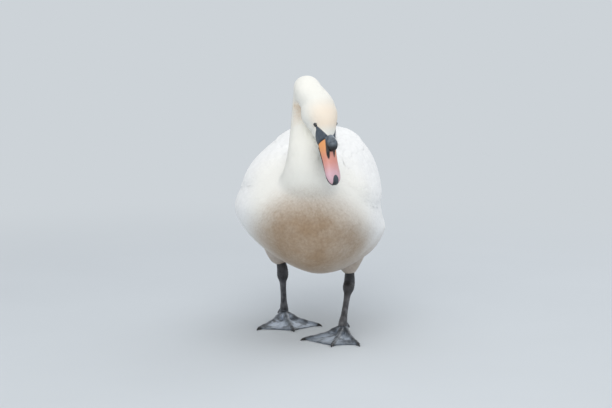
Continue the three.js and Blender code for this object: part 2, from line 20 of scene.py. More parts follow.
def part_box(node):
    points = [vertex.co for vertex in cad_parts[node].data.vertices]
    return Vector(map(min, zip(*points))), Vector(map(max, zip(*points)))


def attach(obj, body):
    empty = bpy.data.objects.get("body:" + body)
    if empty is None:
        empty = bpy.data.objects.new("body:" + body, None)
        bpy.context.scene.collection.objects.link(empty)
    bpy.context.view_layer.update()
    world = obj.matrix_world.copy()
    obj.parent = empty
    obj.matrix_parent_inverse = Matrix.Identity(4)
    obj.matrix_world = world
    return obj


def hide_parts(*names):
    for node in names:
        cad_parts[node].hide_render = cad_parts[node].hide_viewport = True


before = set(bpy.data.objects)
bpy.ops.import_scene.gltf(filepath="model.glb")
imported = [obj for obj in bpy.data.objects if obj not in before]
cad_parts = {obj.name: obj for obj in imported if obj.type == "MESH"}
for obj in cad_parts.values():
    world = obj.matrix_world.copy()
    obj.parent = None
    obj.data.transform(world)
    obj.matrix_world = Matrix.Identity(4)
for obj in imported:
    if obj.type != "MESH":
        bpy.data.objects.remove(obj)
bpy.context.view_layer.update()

# %% [markdown]
# Colours are picked as sRGB hex values, as they look on a screen, and one function turns them to the
# linear values that shaders need. Another adds a shader node and fills its inputs.

# %% Helpers for colours and nodes
def linear(hex_colour):
    """sRGB hex to linear RGBA: c/12.92 below 0.04045, else ((c + 0.055) / 1.055) ** 2.4."""
    channels = [int(hex_colour[k:k + 2], 16) / 255 for k in (1, 3, 5)]
    return tuple(c / 12.92 if c <= 0.04045 else ((c + 0.055) / 1.055) ** 2.4 for c in channels) + (1,)


def feed(tree, slot, value):
    """Fills a node's input with a number, a hex colour, or the output that drives it."""
    if isinstance(value, bpy.types.NodeSocket):
        tree.links.new(value, slot)
    else:
        slot.default_value = linear(value) if isinstance(value, str) else value


def node(tree, kind, *values, **settings):
    """Adds a node. Settings name its properties or inputs, and values fill its inputs in turn."""
    made = tree.nodes.new("ShaderNode" + kind)
    for name, value in settings.items():
        if hasattr(made, name):
            setattr(made, name, value)
        else:
            feed(tree, made.inputs[name.replace("_", " ")], value)
    for slot, value in zip(made.inputs, values):
        feed(tree, slot, value)
    return made


def maths(tree, operation, *values):
    """The outcome of one step of arithmetic."""
    return node(tree, "Math", *values, operation=operation).outputs[0]


def mixed(tree, share, a, b):
    """The colour that goes from a to b as the share goes from 0 to 1."""
    made = node(tree, "Mix", share, data_type="RGBA")
    feed(tree, made.inputs[6], a)
    feed(tree, made.inputs[7], b)
    return made.outputs[2]


def between(tree, value, low, high, to_low=0.0, to_high=1.0, **more):
    """Stretches a value so that low becomes to_low and high becomes to_high, clamped at both."""
    return node(tree, "MapRange", value, From_Min=low, From_Max=high, To_Min=to_low, To_Max=to_high,
                **more).outputs[0]


def mark(tree, name):
    """The number that a mesh attribute holds at the shaded point."""
    return node(tree, "Attribute", attribute_name=name).outputs["Fac"]


def place_on(tree):
    """The object's own coordinates in metres."""
    return node(tree, "TexCoord").outputs["Object"]


def noise(tree, scale, detail, distortion=0.0):
    """Soft clouds from 0 to 1."""
    return node(tree, "TexNoise", place_on(tree), Scale=scale, Detail=detail,
                Distortion=distortion).outputs["Fac"]


def cells(tree, scale):
    """Distance to the edges of small uneven cells."""
    return node(tree, "TexVoronoi", place_on(tree), Scale=scale,
                feature="DISTANCE_TO_EDGE").outputs["Distance"]


def material(name, **surface):
    """A new material with one Principled surface, whose constant inputs are given by name."""
    made = bpy.data.materials.new(name)
    made.use_nodes = True
    tree = made.node_tree
    tree.nodes.clear()
    shader = node(tree, "BsdfPrincipled", **surface)
    node(tree, "OutputMaterial", shader.outputs["BSDF"])
    return made, tree, shader


def dress(tree, shader, colour, height, strength, depth):
    """Gives a surface its colour, and a bump of a depth in metres."""
    bump = node(tree, "Bump", Strength=strength, Distance=depth, Height=height)
    feed(tree, shader.inputs["Base Color"], colour)
    feed(tree, shader.inputs["Normal"], bump.outputs["Normal"])

# %% [markdown]
# Shapes are whole arrays of points, put into a mesh in a single stroke, which is far faster than
# adding vertices one by one. A ramp is the soft step that most marks and forms are made with.

# %% Helpers for meshes
def fit(piece, slot, *solids):
    """Puts a piece in the frame: hides the solids it stands for, hangs it on the body root, and prints
    its slot.
    """
    if solids:
        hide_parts(*solids)
    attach(piece, "root")
    print(f"{piece.name}: {slot}, {len(piece.data.vertices)} points, replaces {', '.join(solids) or '-'}")


def add_object(name, data):
    """A new object, linked to the scene."""
    made = bpy.data.objects.new(name, data)
    bpy.context.collection.objects.link(made)
    return made


def put_mesh(name, points, faces, finish=None, marks=None):
    """A mesh object from points (N, 3) in metres and a list of face arrays (F, 3) or (F, 4).

    marks are point attributes by name: one number for every point.
    """
    mesh = bpy.data.meshes.new(name)
    corners = np.concatenate([f.ravel() for f in faces]).astype(np.int32)
    sizes = np.concatenate([np.full(len(f), f.shape[1]) for f in faces])
    mesh.vertices.add(len(points))
    mesh.vertices.foreach_set("co", np.asarray(points, np.float32).ravel())
    mesh.loops.add(len(corners))
    mesh.loops.foreach_set("vertex_index", corners)
    mesh.polygons.add(len(sizes))
    mesh.polygons.foreach_set("loop_start", np.concatenate([[0], np.cumsum(sizes)[:-1]]).astype(np.int32))
    mesh.update(calc_edges=True)
    mesh.shade_smooth()
    set_marks(mesh, marks or {})
    if finish:
        mesh.materials.append(finish)
    return add_object(name, mesh)


def set_marks(mesh, marks):
    """Writes numbers for every point as attributes that a material can read."""
    for name, values in marks.items():
        mesh.attributes.new(name, "FLOAT", "POINT").data.foreach_set(
            "value", np.asarray(values, np.float32).ravel())


def together(*parts):
    """Arrays and numbers side by side on a new last axis, all stretched to one shape."""
    return np.stack(np.broadcast_arrays(*parts), -1)


def norm(v):
    """Lengths of vectors."""
    return np.linalg.norm(v, axis=-1)


def unit(v):
    """Vectors scaled to length 1."""
    return v / np.maximum(np.linalg.norm(v, axis=-1, keepdims=True), 1e-9)


def ramp(x, low, high):
    """0 below low, 1 above high, and 3t^2 - 2t^3 between: a step with soft ends."""
    t = np.clip((np.asarray(x, float) - low) / (high - low), 0, 1)
    return t * t * (3 - 2 * t)


def fade(x, low, high):
    """1 below low and 0 above high: the reverse of a ramp."""
    return 1 - ramp(x, low, high)

# %% [markdown]
# The bird is drawn by a few tables of stations. Each row gives a centre and how far an oval section
# reaches, and a Catmull-Rom curve passes smoothly through the rows. The solids use the same tables,
# so skin and feathers fit them everywhere.

# %% The tables of the body
TRUNK = [  # y, height of the widest line, half width, reach up, reach down
    (-296, 305, 0, 0, 0),
    (-285, 303, 60, 54, 60),
    (-250, 298, 108, 100, 104),
    (-180, 290, 148, 138, 124),
    (-90, 281, 169, 163, 131),
    (10, 280, 170, 172, 130),
    (110, 290, 153, 163, 124),
    (200, 312, 118, 130, 104),
    (270, 334, 79, 88, 76),
    (325, 350, 47, 46, 42),
    (356, 358, 22, 18, 18),
    (363, 360, 0, 0, 0),
]
BACK_FULLNESS, BELLY_FULLNESS = 1.62, 1.7  # 2 is an ellipse, less is leaner
KEEL_LEAN, KEEL_DEPTH = 36, 131
FLANK_PUFF, FLANK_LENGTH = 12, 110  # the left flank is puffed out over the hip
TRUNK_PIVOT = np.array([0.0, 0.0, 298.0])
TRUNK_ROLL, TRUNK_YAW = math.radians(8), math.radians(4)  # to its left, and to its right

MANTLE = [  # the shell of the folded wings: y, z, half width, reach up, reach down
    (-230, 296, 108, 112, 120),
    (-120, 283, 136, 158, 150),
    (0, 280, 154, 184, 150),
    (100, 288, 150, 180, 140),
    (200, 309, 128, 146, 120),
    (290, 334, 96, 96, 90),
    (360, 350, 66, 56, 60),
    (420, 358, 42, 32, 36),
    (465, 361, 24, 18, 20),
]
WING_FRONT, WING_REAR = -205, 452
WING_THICKNESS, WING_EDGE, WING_CLEARANCE, MANTLE_BLEND = 17, 3, 1, 5
WING_LIFT = {1: 14, -1: 2}  # how far each wing is held off the back, left and right
WING_EDGES = [  # share of the wing's length, angle of its lower and upper edge
    (0, 28, 44),
    (0.12, 18, 60),
    (0.3, 16, 74),
    (0.5, 11, 82),
    (0.7, 8, 86),
    (0.85, 13, 86),
    (0.94, 24, 84),
    (1, 42, 74),
]

TAIL = [  # y, z, half width, half thickness
    (290, 342, 44, 17),
    (350, 348, 60, 13),
    (410, 350, 62, 8),
    (460, 350, 47, 5),
    (497, 350, 26, 3),
    (516, 350, 10, 2),
]

NECK = [  # x, y, z, turn, half width, reach to the back of the neck, reach to the throat
    (-2, -140, 312, 0, 96, 86, 84),
    (-5, -203, 345, 0, 80, 70, 70),
    (-9, -257, 391, 0, 58, 50, 52),
    (-11, -266, 441, 0, 43, 38, 41),
    (-12, -233, 490, 0, 35, 32, 35),
    (-12, -187, 532, 2, 31.5, 29, 30),
    (-11, -195, 568, 8, 29, 27.5, 29),
    (-10, -230, 584, 15, 29.5, 26.5, 31),
    (-3, -266, 575, 23, 32, 27, 36),
]
HEAD_YAW, HEAD_PITCH = math.radians(30), math.radians(66)
EYE_LINE = np.array([26.0, -303.0, 507.0])
HEAD = [  # forward from the eyes, half width, up to the crown, down to the throat
    (-50, 34, 28.5, 40),
    (-37, 36.5, 31, 43),
    (-23, 37, 32.5, 43),
    (-9, 33.5, 33, 39),
    (4, 28, 31, 34),
    (16, 24.5, 28, 29),
    (28, 22, 24, 25),
    (38, 20.5, 20.5, 22),
]
BILL_SLANT = 0.28
CHEEK, CHEEK_AT, CHEEK_DROP = 5, 1.5, math.radians(30)  # mm, rows from the nape, below the side
EYE_RADIUS, EYE_SIDE, EYE_UP = 5.6, 23.6, 10


def curve(rows, s, mirrored=()):
    """Catmull-Rom: every column at each s, counted in rows.

    With a, b, c, d four rows in turn, v = b + t/2 (c - a + t (2a - 5b + 4c - d + t (3(b - c) + d - a))).
    Beyond an end the mirrored columns change sign, which closes a loft with a round end.
    """
    rows = np.asarray(rows, float)
    flips = np.isin(np.arange(rows.shape[1]), mirrored)

    def beyond(end, following):
        """One row more past an end: 2 end - following, or following with its mirrored signs turned."""
        return np.where(flips, -following, following) if mirrored else 2 * end - following

    padded = np.vstack([beyond(rows[0], rows[1]), rows, beyond(rows[-1], rows[-2])])
    s = np.asarray(s, float)
    i = np.clip(np.floor(s).astype(int), 0, len(rows) - 2)
    t = (s - i)[..., None]
    a, b, c, d = (padded[i + k] for k in range(4))
    return b + t / 2 * (c - a + t * (2 * a - 5 * b + 4 * c - d + t * (3 * (b - c) + d - a)))


def columns(rows, s, mirrored=()):
    """The same curve, as one array for each column."""
    return np.moveaxis(curve(rows, s, mirrored), -1, 0)


def rows_at(rows, wanted, mirrored=()):
    """The s at which the first column has each wanted value, read off a fine table."""
    s = np.linspace(0, len(rows) - 1, 2000)
    return np.interp(wanted, curve(rows, s, mirrored)[:, 0], s)

# %% [markdown]
# Where is the stance in the frame? The frame's origin is the middle of the bird's box, and the
# stance's is under the trunk. The right eye is a ball in both, so the difference of its centres is
# the shift that carries every point over.

# %% From the stance to the frame
FORWARD = np.array([math.sin(HEAD_YAW) * math.cos(HEAD_PITCH),
                    -math.cos(HEAD_YAW) * math.cos(HEAD_PITCH), -math.sin(HEAD_PITCH)])
TO_LEFT = np.array([math.cos(HEAD_YAW), math.sin(HEAD_YAW), 0])
TO_CROWN = unit(np.cross(FORWARD, TO_LEFT))


def in_head(forward, side, up):
    """Points of the head from distances along its axis, to its left and to its crown."""
    return (EYE_LINE + np.multiply.outer(forward, FORWARD) + np.multiply.outer(side, TO_LEFT)
            + np.multiply.outer(up, TO_CROWN))


def head_points(sizes):
    """The same from one array whose last axis holds forward, side and up."""
    return in_head(*np.moveaxis(sizes[..., :3], -1, 0))


def head_sizes(points):
    """The reverse of in_head: forward, side and up of each point."""
    away = points - EYE_LINE
    return away @ FORWARD, away @ TO_LEFT, away @ TO_CROWN


eye_low, eye_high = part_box("eye_right")
SHIFT = np.array((eye_low + eye_high) / 2) * 1000 - in_head(0, -EYE_SIDE, EYE_UP)


def to_frame(points):
    """Stance millimetres to metres in the frame."""
    return (np.asarray(points) + SHIFT) / 1000


def to_stance(points):
    """Metres in the frame to stance millimetres."""
    return np.asarray(points) * 1000 - SHIFT


turn_z = np.array(Matrix.Rotation(-TRUNK_YAW, 3, "Z"))
turn_y = np.array(Matrix.Rotation(TRUNK_ROLL, 3, "Y"))
BODY_TURN = turn_z @ turn_y


def body_to_stance(points):
    """The trunk rolls to its left and turns a little to its right about its pivot."""
    return (np.asarray(points) - TRUNK_PIVOT) @ BODY_TURN.T + TRUNK_PIVOT


def stance_to_body(points):
    """The reverse of body_to_stance."""
    return (np.asarray(points) - TRUNK_PIVOT) @ BODY_TURN + TRUNK_PIVOT


print("shift of the stance in the frame, mm:", SHIFT.round(2))

# %% [markdown]
# The camera stands 4.5 m in front of the bird at the height of a person's chest and looks slightly
# down, with a long lens that keeps the body's proportions flat. A white bird needs a backdrop that is
# a little darker than itself, so floor and sky are pale grey, and the floor fades into the sky, as a
# studio's paper sweep does, while the shadow stays under the bird.

# %% Camera
CAMERA_DOWN = math.radians(8)
CAMERA_DISTANCE = 4500
CAMERA_TARGET = np.array([-11.5, -60.0, 301.6])
FOCAL_SHARE = 3.196  # focal length as a share of the picture's width

camera = add_object("camera", bpy.data.cameras.new("camera"))
camera.data.sensor_width = 36
camera.data.lens = 36 * FOCAL_SHARE
away = np.array([0, -math.cos(CAMERA_DOWN), math.sin(CAMERA_DOWN)])
camera.location = to_frame(CAMERA_TARGET + CAMERA_DISTANCE * away)
camera.rotation_euler = Vector(-away).to_track_quat("-Z", "Y").to_euler()
bpy.context.scene.camera = camera
bpy.context.scene.view_settings.view_transform = "Standard"
print("camera at", [round(v, 2) for v in camera.location], "m, lens", round(camera.data.lens), "mm")

# %% [markdown]
# The sky light from above is the main one, a wide front light opens the shadows under the head, and
# a back light picks out the wings. The light on the bird is whiter and dimmer than the backdrop.

# %% Light and floor
BACKDROP = "#CDD3D8"
FADE_FROM, FADE_TO = 0.7, 2.2  # metres from the bird where the floor turns into the backdrop
FLOOR_HALF = 40.0


def seen_ray(tree):
    """1 for rays from the camera, and for what it sees by reflection or through something clear."""
    path = node(tree, "LightPath").outputs
    seen = maths(tree, "MAXIMUM", path["Is Camera Ray"], path["Is Glossy Ray"])
    return maths(tree, "MAXIMUM", seen, path["Is Transmission Ray"])


world = bpy.data.worlds.new("soft_sky")
bpy.context.scene.world = world
world.use_nodes = True
sky = world.node_tree
sky.nodes.clear()
dim = node(sky, "Background", "#F3F5F8", 0.70).outputs[0]
bright = node(sky, "Background", BACKDROP, 1.0).outputs[0]
node(sky, "OutputWorld", node(sky, "MixShader", seen_ray(sky), dim, bright).outputs[0])


def lamp(name, place, size, power, colour):
    """A square area lamp that looks at the middle of the bird."""
    data = bpy.data.lights.new(name, "AREA")
    data.size = size
    data.energy = power
    data.color = linear(colour)[:3]
    made = add_object(name, data)
    made.location = place
    made.rotation_euler = (Vector((0, 0, 0.3)) - Vector(place)).to_track_quat("-Z", "Y").to_euler()
    print(f"{name}: {size} m wide, {power} W")


lamp("sky_light", (0.2, -0.7, 3.2), 2.8, 26, "#FFFFFF")
lamp("front_light", (-0.5, -3.3, 2.2), 2.6, 40, "#FFFEFA")
lamp("back_light", (2.0, 2.6, 2.2), 2.0, 22, "#FFFFFF")

floor_paint, tree, shader = material("matt_floor_paint", Roughness=0.9)
feed(tree, shader.inputs["Base Color"], mixed(tree, noise(tree, 3.0, 2.0), "#C9CFD4", BACKDROP))
away = node(tree, "VectorMath", place_on(tree), operation="LENGTH").outputs["Value"]
far = between(tree, away, FADE_FROM, FADE_TO, interpolation_type="SMOOTHSTEP")
glow = node(tree, "Emission", BACKDROP, 1.0)
blend = node(tree, "MixShader", maths(tree, "MULTIPLY", far, seen_ray(tree)), shader.outputs["BSDF"],
             glow.outputs[0])
output = next(n for n in tree.nodes if n.type == "OUTPUT_MATERIAL")
feed(tree, output.inputs["Surface"], blend.outputs[0])
floor = put_mesh("floor", np.array([[-1, -1, 0], [1, -1, 0], [1, 1, 0], [-1, 1, 0]]) * FLOOR_HALF,
                 [np.array([[0, 1, 2, 3]])], floor_paint)

# %% [markdown]
# The great surfaces are functions of two numbers. The trunk is a row of leaning superellipses, and
# the folded wing is a shell round the same middle line. An inset or a height moves the surface in or
# out, so that the skin can lie under its coat.

# %% Trunk and wing shell as functions
def superpower(v, fullness):
    """sign(v) |v| ^ (2 / fullness), the rule of a superellipse."""
    return np.sign(v) * np.abs(v) ** (2 / fullness)


def trunk_surface(s, angle, inset=0):
    """Body coordinates of the trunk at row s and angle: 0 is the left side, 90 degrees the back.

    x = (half - inset) cos^(2/n) + lean + puff, z = middle + (reach - inset) sin^(2/n). The lean grows
    with the square of the sine below the widest line. The puff of the left flank fades as
    exp(-(y / length)^2), with a soft step under the wing and one at the thigh.
    """
    y, z, half, up, down = columns(TRUNK, s, (2, 3, 4))
    c, t = np.cos(angle), np.sin(angle)
    above = t > 0
    fullness = np.where(above, BACK_FULLNESS, BELLY_FULLNESS)
    lean = np.where(above, 0, KEEL_LEAN * t ** 2 * down / KEEL_DEPTH)
    reach = np.maximum(np.where(above, up, down) - inset, 0)
    turn = np.degrees(np.arctan2(t, c))
    puff = FLANK_PUFF * np.exp(-(y / FLANK_LENGTH) ** 2) * fade(turn, -12, 10) * ramp(turn, -56, -30)
    x = np.maximum(half - inset, 0) * superpower(c, fullness) + lean + puff
    return together(x, y, z + reach * superpower(t, fullness))


def reach_of(section, height, angle, fullness):
    """Distance from (0, height) to an oval's edge at an angle, found by halving an interval 22 times."""
    centre, half, up, down = section
    near, far = np.zeros(np.shape(angle)), np.full(np.shape(angle), 400.0)
    for _ in range(22):
        r = (near + far) / 2
        rise = height + r * np.sin(angle) - centre
        outside = (np.abs(r * np.cos(angle)) / half) ** fullness + (
            np.abs(rise) / np.where(rise > 0, up, down)) ** fullness > 1
        far = np.where(outside, r, far)
        near = np.where(outside, near, r)
    return near


def wing_share(y):
    """How far along the wing y lies: 0 at its front and 1 at its rear."""
    return (y - WING_FRONT) / (WING_REAR - WING_FRONT)


def wing_edges(y):
    """Lower and upper edge of the wing in radians at each y."""
    table = np.array(WING_EDGES, float)
    s = np.interp(np.clip(wing_share(y), 0, 1), table[:, 0], np.arange(len(table)))
    return np.radians(columns(WING_EDGES, s)[1:])


def wing_surface(side, y, angle, height=0):
    """Body coordinates of the top of a folded wing at y and angle, raised by height.

    The radius is a soft maximum (a + b + sqrt((a - b)^2 + k^2)) / 2 of the trunk's radius plus the
    wing's thickness and the mantle's own radius.
    """
    y, angle = np.broadcast_arrays(np.asarray(y, float), angle)
    share = np.clip(wing_share(y), 0, 1)
    low, high = wing_edges(y)
    v = np.clip((angle - low) / (high - low), 0, 1)
    full = np.sqrt(np.sin(np.pi * v) * np.sin(np.pi * share))
    thick = WING_EDGE + (WING_THICKNESS - WING_EDGE) * full
    mantle = columns(MANTLE, rows_at(MANTLE, y))[1:]
    inside = np.minimum(y, TRUNK[-1][0] - 2)
    trunk = columns(TRUNK, rows_at(TRUNK, inside, (2, 3, 4)), (2, 3, 4))[1:]
    on_trunk = reach_of(trunk, mantle[0], angle, BACK_FULLNESS) + WING_CLEARANCE + thick
    shell = reach_of(mantle, mantle[0], angle, 2) + WING_LIFT[side] * full
    r = (on_trunk + shell + np.hypot(on_trunk - shell, MANTLE_BLEND)) / 2 + height
    return together(side * r * np.cos(angle), y, mantle[0] + r * np.sin(angle))

# %% [markdown]
# Neck and head are one long tube, as feathers hide where one ends. Its sections stay square to its
# own bend: a cross product of the way ahead and the side gives the way to the back.

# %% Neck and head as a function
SPINE = np.array(NECK + [
    [*in_head(forward, 0, 0), math.degrees(HEAD_YAW), half, up, down] for forward, half, up, down in HEAD
])
NAPE, MUZZLE = len(NECK), len(SPINE) - 1


def spine_frames(s):
    """Centre, direction to the head, side and back of the neck's section at each s."""
    centre = curve(SPINE, s)[..., :3]
    ahead = unit(curve(SPINE, s + 0.02)[..., :3] - curve(SPINE, s - 0.02)[..., :3])
    turn = np.radians(curve(SPINE, s)[..., 3])
    left = together(np.cos(turn), np.sin(turn), 0)
    back = unit(np.cross(ahead, left))
    return centre, ahead, unit(np.cross(back, ahead)), back


def spine_surface(s, angle, inset=0):
    """Stance coordinates of neck and head: 0 is the left side, 90 degrees the nape and crown.

    centre + across * half * cos + back * reach * sin, sheared along the axis near the bill. The
    cheeks add a bulge of cos^4 round their middle, which fades along the head as exp(-d^2).
    """
    s, angle, inset = np.broadcast_arrays(np.asarray(s, float), angle, inset)
    centre, ahead, across, back = spine_frames(s)
    half, up, down = columns(SPINE, s)[4:] - inset
    aside = half * np.cos(angle)
    rise = np.where(np.sin(angle) > 0, up, down) * np.sin(angle)
    shear = -BILL_SLANT * np.maximum(0, (s - MUZZLE + 3) / 3) * rise
    low = np.maximum(0, np.cos(np.arctan2(rise, np.abs(aside)) + CHEEK_DROP)) ** 4
    grow = 1 + CHEEK * np.exp(-((s - NAPE - CHEEK_AT) / 1.5) ** 2) * low / np.hypot(aside, rise)
    return (centre + across * (aside * grow)[..., None] + back * (rise * grow)[..., None]
            + ahead * shear[..., None])

# %% [markdown]
# Thighs, legs, toes and claws are tubes through stations of their own. Quads join their rings, and a
# fan of triangles closes each end, because a voxel remesh needs closed meshes.

# %% Tubes
def tube_points(rows, steps, sides, flat_at=None):
    """A grid of rings square to the curve through rows of x, y, z, half width and half depth."""
    s = np.linspace(0, len(rows) - 1, steps)
    rows = np.asarray(rows, float)
    centre = curve(rows, s)
    last = len(rows) - 1
    ahead = unit(curve(rows, np.minimum(s + 0.02, last))[:, :3]
                 - curve(rows, np.maximum(s - 0.02, 0))[:, :3])
    up = unit(np.cross(ahead, [1.0, 0, 0]))
    side = unit(np.cross(up, ahead))
    angle = around(sides)
    grid = (centre[:, None, :3]
            + side[:, None] * (centre[:, 3, None] * np.cos(angle))[..., None]
            + up[:, None] * (centre[:, 4, None] * np.sin(angle))[..., None])
    if flat_at is not None:
        grid[..., 2] = np.maximum(grid[..., 2], flat_at)
    return grid


def capped(grid):
    """Points and faces of a tube from a grid (rings, sides, 3), its ends closed to one point each."""
    rings, sides = grid.shape[:2]
    points = np.concatenate([grid.reshape(-1, 3), grid[0].mean(0)[None], grid[-1].mean(0)[None]])
    k = np.arange(sides)
    k2 = (k + 1) % sides
    r = (np.arange(rings - 1) * sides)[:, None]
    quads = together(r + k, r + k2, r + sides + k2, r + sides + k).reshape(-1, 4)
    front, back, last = rings * sides, rings * sides + 1, (rings - 1) * sides
    caps = np.concatenate([together(front, k2, k), together(back, last + k, last + k2)])
    return points, [quads, caps]


def around(count):
    """Evenly spaced angles of a full turn."""
    return np.linspace(0, 2 * np.pi, count, endpoint=False)


def joined_tubes(name, tubes, finish=None):
    """One mesh from several closed tubes of stance points."""
    pieces, faces, start = [], [], 0
    for tube in tubes:
        points, tube_faces = capped(tube)
        pieces.append(points)
        faces += [f + start for f in tube_faces]
        start += len(points)
    return put_mesh(name, to_frame(np.concatenate(pieces)), faces, finish)

# %% [markdown]
# Under its feathers a bird is one smooth skin. Each part of the body is first a closed loft of its
# own, made smaller by the depth of its coat.

# %% Lofts under the coat
BODY_COAT, WING_COAT, THIGH_COAT = 3.6, 6.0, 4.0  # depth of the coat in mm


def spine_coat(s):
    """Depth of the coat along neck and head, thinnest at the bill."""
    return np.interp(s, [0, 2.5, 5, NAPE, NAPE + 3, NAPE + 5, MUZZLE],
                     [3.4, 2.0, 1.4, 1.1, 0.9, 0.65, 0.5])


LEGS = {
    "left": dict(side=1, heading=-11, spread=dict(outer=25, middle=0, inner=-41),
                 foot=np.array([74.0, -76, 0]), ankle=np.array([89.0, -9, 104]),
                 thigh=[(78, 4, 214), (85, -3, 180), (89, -9, 152), (90.5, -12, 133)]),
    "right": dict(side=-1, heading=9.5, spread=dict(outer=35, middle=0, inner=-37),
                  foot=np.array([-64.0, 93, 0]), ankle=np.array([-67.0, 50, 123]),
                  thigh=[(-60, 42, 224), (-71, 45, 193), (-75, 48, 165), (-71, 50, 147)]),
}
THIGH_RADII = (61, 49, 29, 14.5)  # mm, one for each station of a thigh


def thigh_rows(leg, inset=0):
    """The feathered thigh as stations of x, y, z and two radii."""
    return [(*place, radius - inset, radius - inset) for place, radius in zip(leg["thigh"], THIGH_RADII)]


def trunk_loft():
    """The trunk's loft, in stance coordinates."""
    s = np.linspace(0, len(TRUNK) - 1, 72)[1:-1, None]
    return body_to_stance(trunk_surface(s, -around(80)[None], BODY_COAT))


def wing_loft(side):
    """A wing as rings round its thickness: over its top, and back inside the trunk."""
    y = np.linspace(WING_FRONT + 12, WING_REAR - 60, 60)
    low, high = wing_edges(y)
    v = np.linspace(0, 1, 24)
    angle = low[:, None] + (high - low)[:, None] * v
    top = wing_surface(side, y[:, None], angle, -WING_COAT)
    under = wing_surface(side, y[:, None], angle, -WING_COAT - 16)
    ring = np.concatenate([top, under[:, ::-1]], 1)
    return body_to_stance(ring if side < 0 else ring[:, ::-1])


def tail_loft():
    """The core of the tail, a flat tongue under its feathers."""
    y, z, half, thick = curve(TAIL[:-2], np.linspace(0, len(TAIL) - 3, 24)).T[..., None]
    angle = -around(40)[None]
    return body_to_stance(together((half - 10) * np.cos(angle), y, z + 0.55 * thick * np.sin(angle)))


def neck_loft():
    """Neck and head as one tube."""
    s = np.linspace(0.3, MUZZLE, 150)[:, None]
    return spine_surface(s, around(64)[None], spine_coat(s))


lofts = [trunk_loft(), wing_loft(1), wing_loft(-1), tail_loft(), neck_loft()]
lofts += [tube_points(thigh_rows(leg, THIGH_COAT), 20, 40) for leg in LEGS.values()]
skin = joined_tubes("skin", lofts)
print("lofts:", len(lofts), "with", len(skin.data.vertices), "points")

# %% [markdown]
# A voxel remesh melts the lofts into one surface. A smooth modifier that works only near the joins
# rounds the creases where neck, wings and thighs leave the trunk, and sinks the wings' front edges
# into the body. Each modifier's outcome takes the mesh's place, so that the next step builds on it.

# %% One skin
SKIN_VOXEL, SKIN_ROUNDS = 0.0034, 60  # metres, and rounds of smoothing


def apply_modifiers(thing):
    """Replaces a mesh by what its modifiers make of it."""
    graph = bpy.context.evaluated_depsgraph_get()
    made = bpy.data.meshes.new_from_object(thing.evaluated_get(graph))
    thing.modifiers.clear()
    old = thing.data
    thing.data = made
    bpy.data.meshes.remove(old)


def remesh(thing, voxel):
    """Voxel remesh: everything closed becomes one surface of even quads."""
    melt = thing.modifiers.new("melt", "REMESH")
    melt.mode = "VOXEL"
    melt.voxel_size = voxel
    apply_modifiers(thing)


def points_of(thing, field="co"):
    """The points of an object's mesh, or their normals, as an array (N, 3)."""
    flat = np.empty(len(thing.data.vertices) * 3, np.float32)
    thing.data.vertices.foreach_get(field, flat)
    return flat.reshape(-1, 3).astype(float)


def stance_of(thing):
    """The points of an object's mesh in stance coordinates."""
    return to_stance(points_of(thing))


def relax(thing, weights, rounds):
    """Smooths the points by their weights, from 0 to 1, a number of rounds."""
    group = thing.vertex_groups.new(name="relax")
    levels = np.round(np.clip(weights, 0, 1) * 10).astype(int)
    for level in range(1, 11):
        chosen = np.flatnonzero(levels == level)
        if len(chosen):
            group.add(chosen.tolist(), level / 10, "REPLACE")
    soften = thing.modifiers.new("soften", "SMOOTH")
    soften.vertex_group = "relax"
    soften.factor = 0.5
    soften.iterations = rounds
    apply_modifiers(thing)
    thing.vertex_groups.clear()


def in_wing(places):
    """How far each place lies inside the outline of a folded wing in mm: behind its front edge, and
    between its lower and upper edges. Negative outside."""
    x, y, z = stance_to_body(places).T
    middle = curve(MANTLE, rows_at(MANTLE, np.clip(y, -230, 440)))[..., 1]
    angle, r = np.arctan2(z - middle, np.abs(x)), np.hypot(x, z - middle)
    low, high = wing_edges(y)
    return np.minimum.reduce([y - WING_FRONT - 12, (angle - low) * r, (high - angle) * r])


remesh(skin, SKIN_VOXEL)
places = stance_of(skin)
neck_root = curve(SPINE, np.array([1.15]))[0, :3]
near_neck = fade(norm((places - neck_root) / [1.15, 1, 1]), 95, 150)
body_y = stance_to_body(places)[:, 1]
seam = fade(np.abs(in_wing(places)), 12, 34) * (1 - 0.8 * ramp(body_y, 60, 200))
relax(skin, np.maximum.reduce([near_neck, 0.9 * seam, np.full(len(seam), 0.12)]), SKIN_ROUNDS)

# %% [markdown]
# Bare and feathered skin meet on the face in a sharp line, which is a mark at each point. It can be
# no finer than the points are, so the edges there are cut in two, twice.

# %% A finer face
FACE_BACK = -10.0  # mm from the eyes: the skin in front of it is made finer
fine = bmesh.new()
fine.from_mesh(skin.data)
for _ in range(2):
    places = to_stance(np.array([v.co for v in fine.verts]))
    forward = head_sizes(places)[0]
    face = (forward > FACE_BACK) & (norm(places - EYE_LINE) < 60)
    fine.verts.ensure_lookup_table()
    edges = [e for e in fine.edges if face[e.verts[0].index] and face[e.verts[1].index]]
    bmesh.ops.subdivide_edges(fine, edges=edges, cuts=1, use_grid_fill=True, smooth=0.6)
    fine.verts.index_update()
fine.to_mesh(skin.data)
fine.free()
skin.data.shade_smooth()
print("skin:", len(skin.data.polygons), "faces")
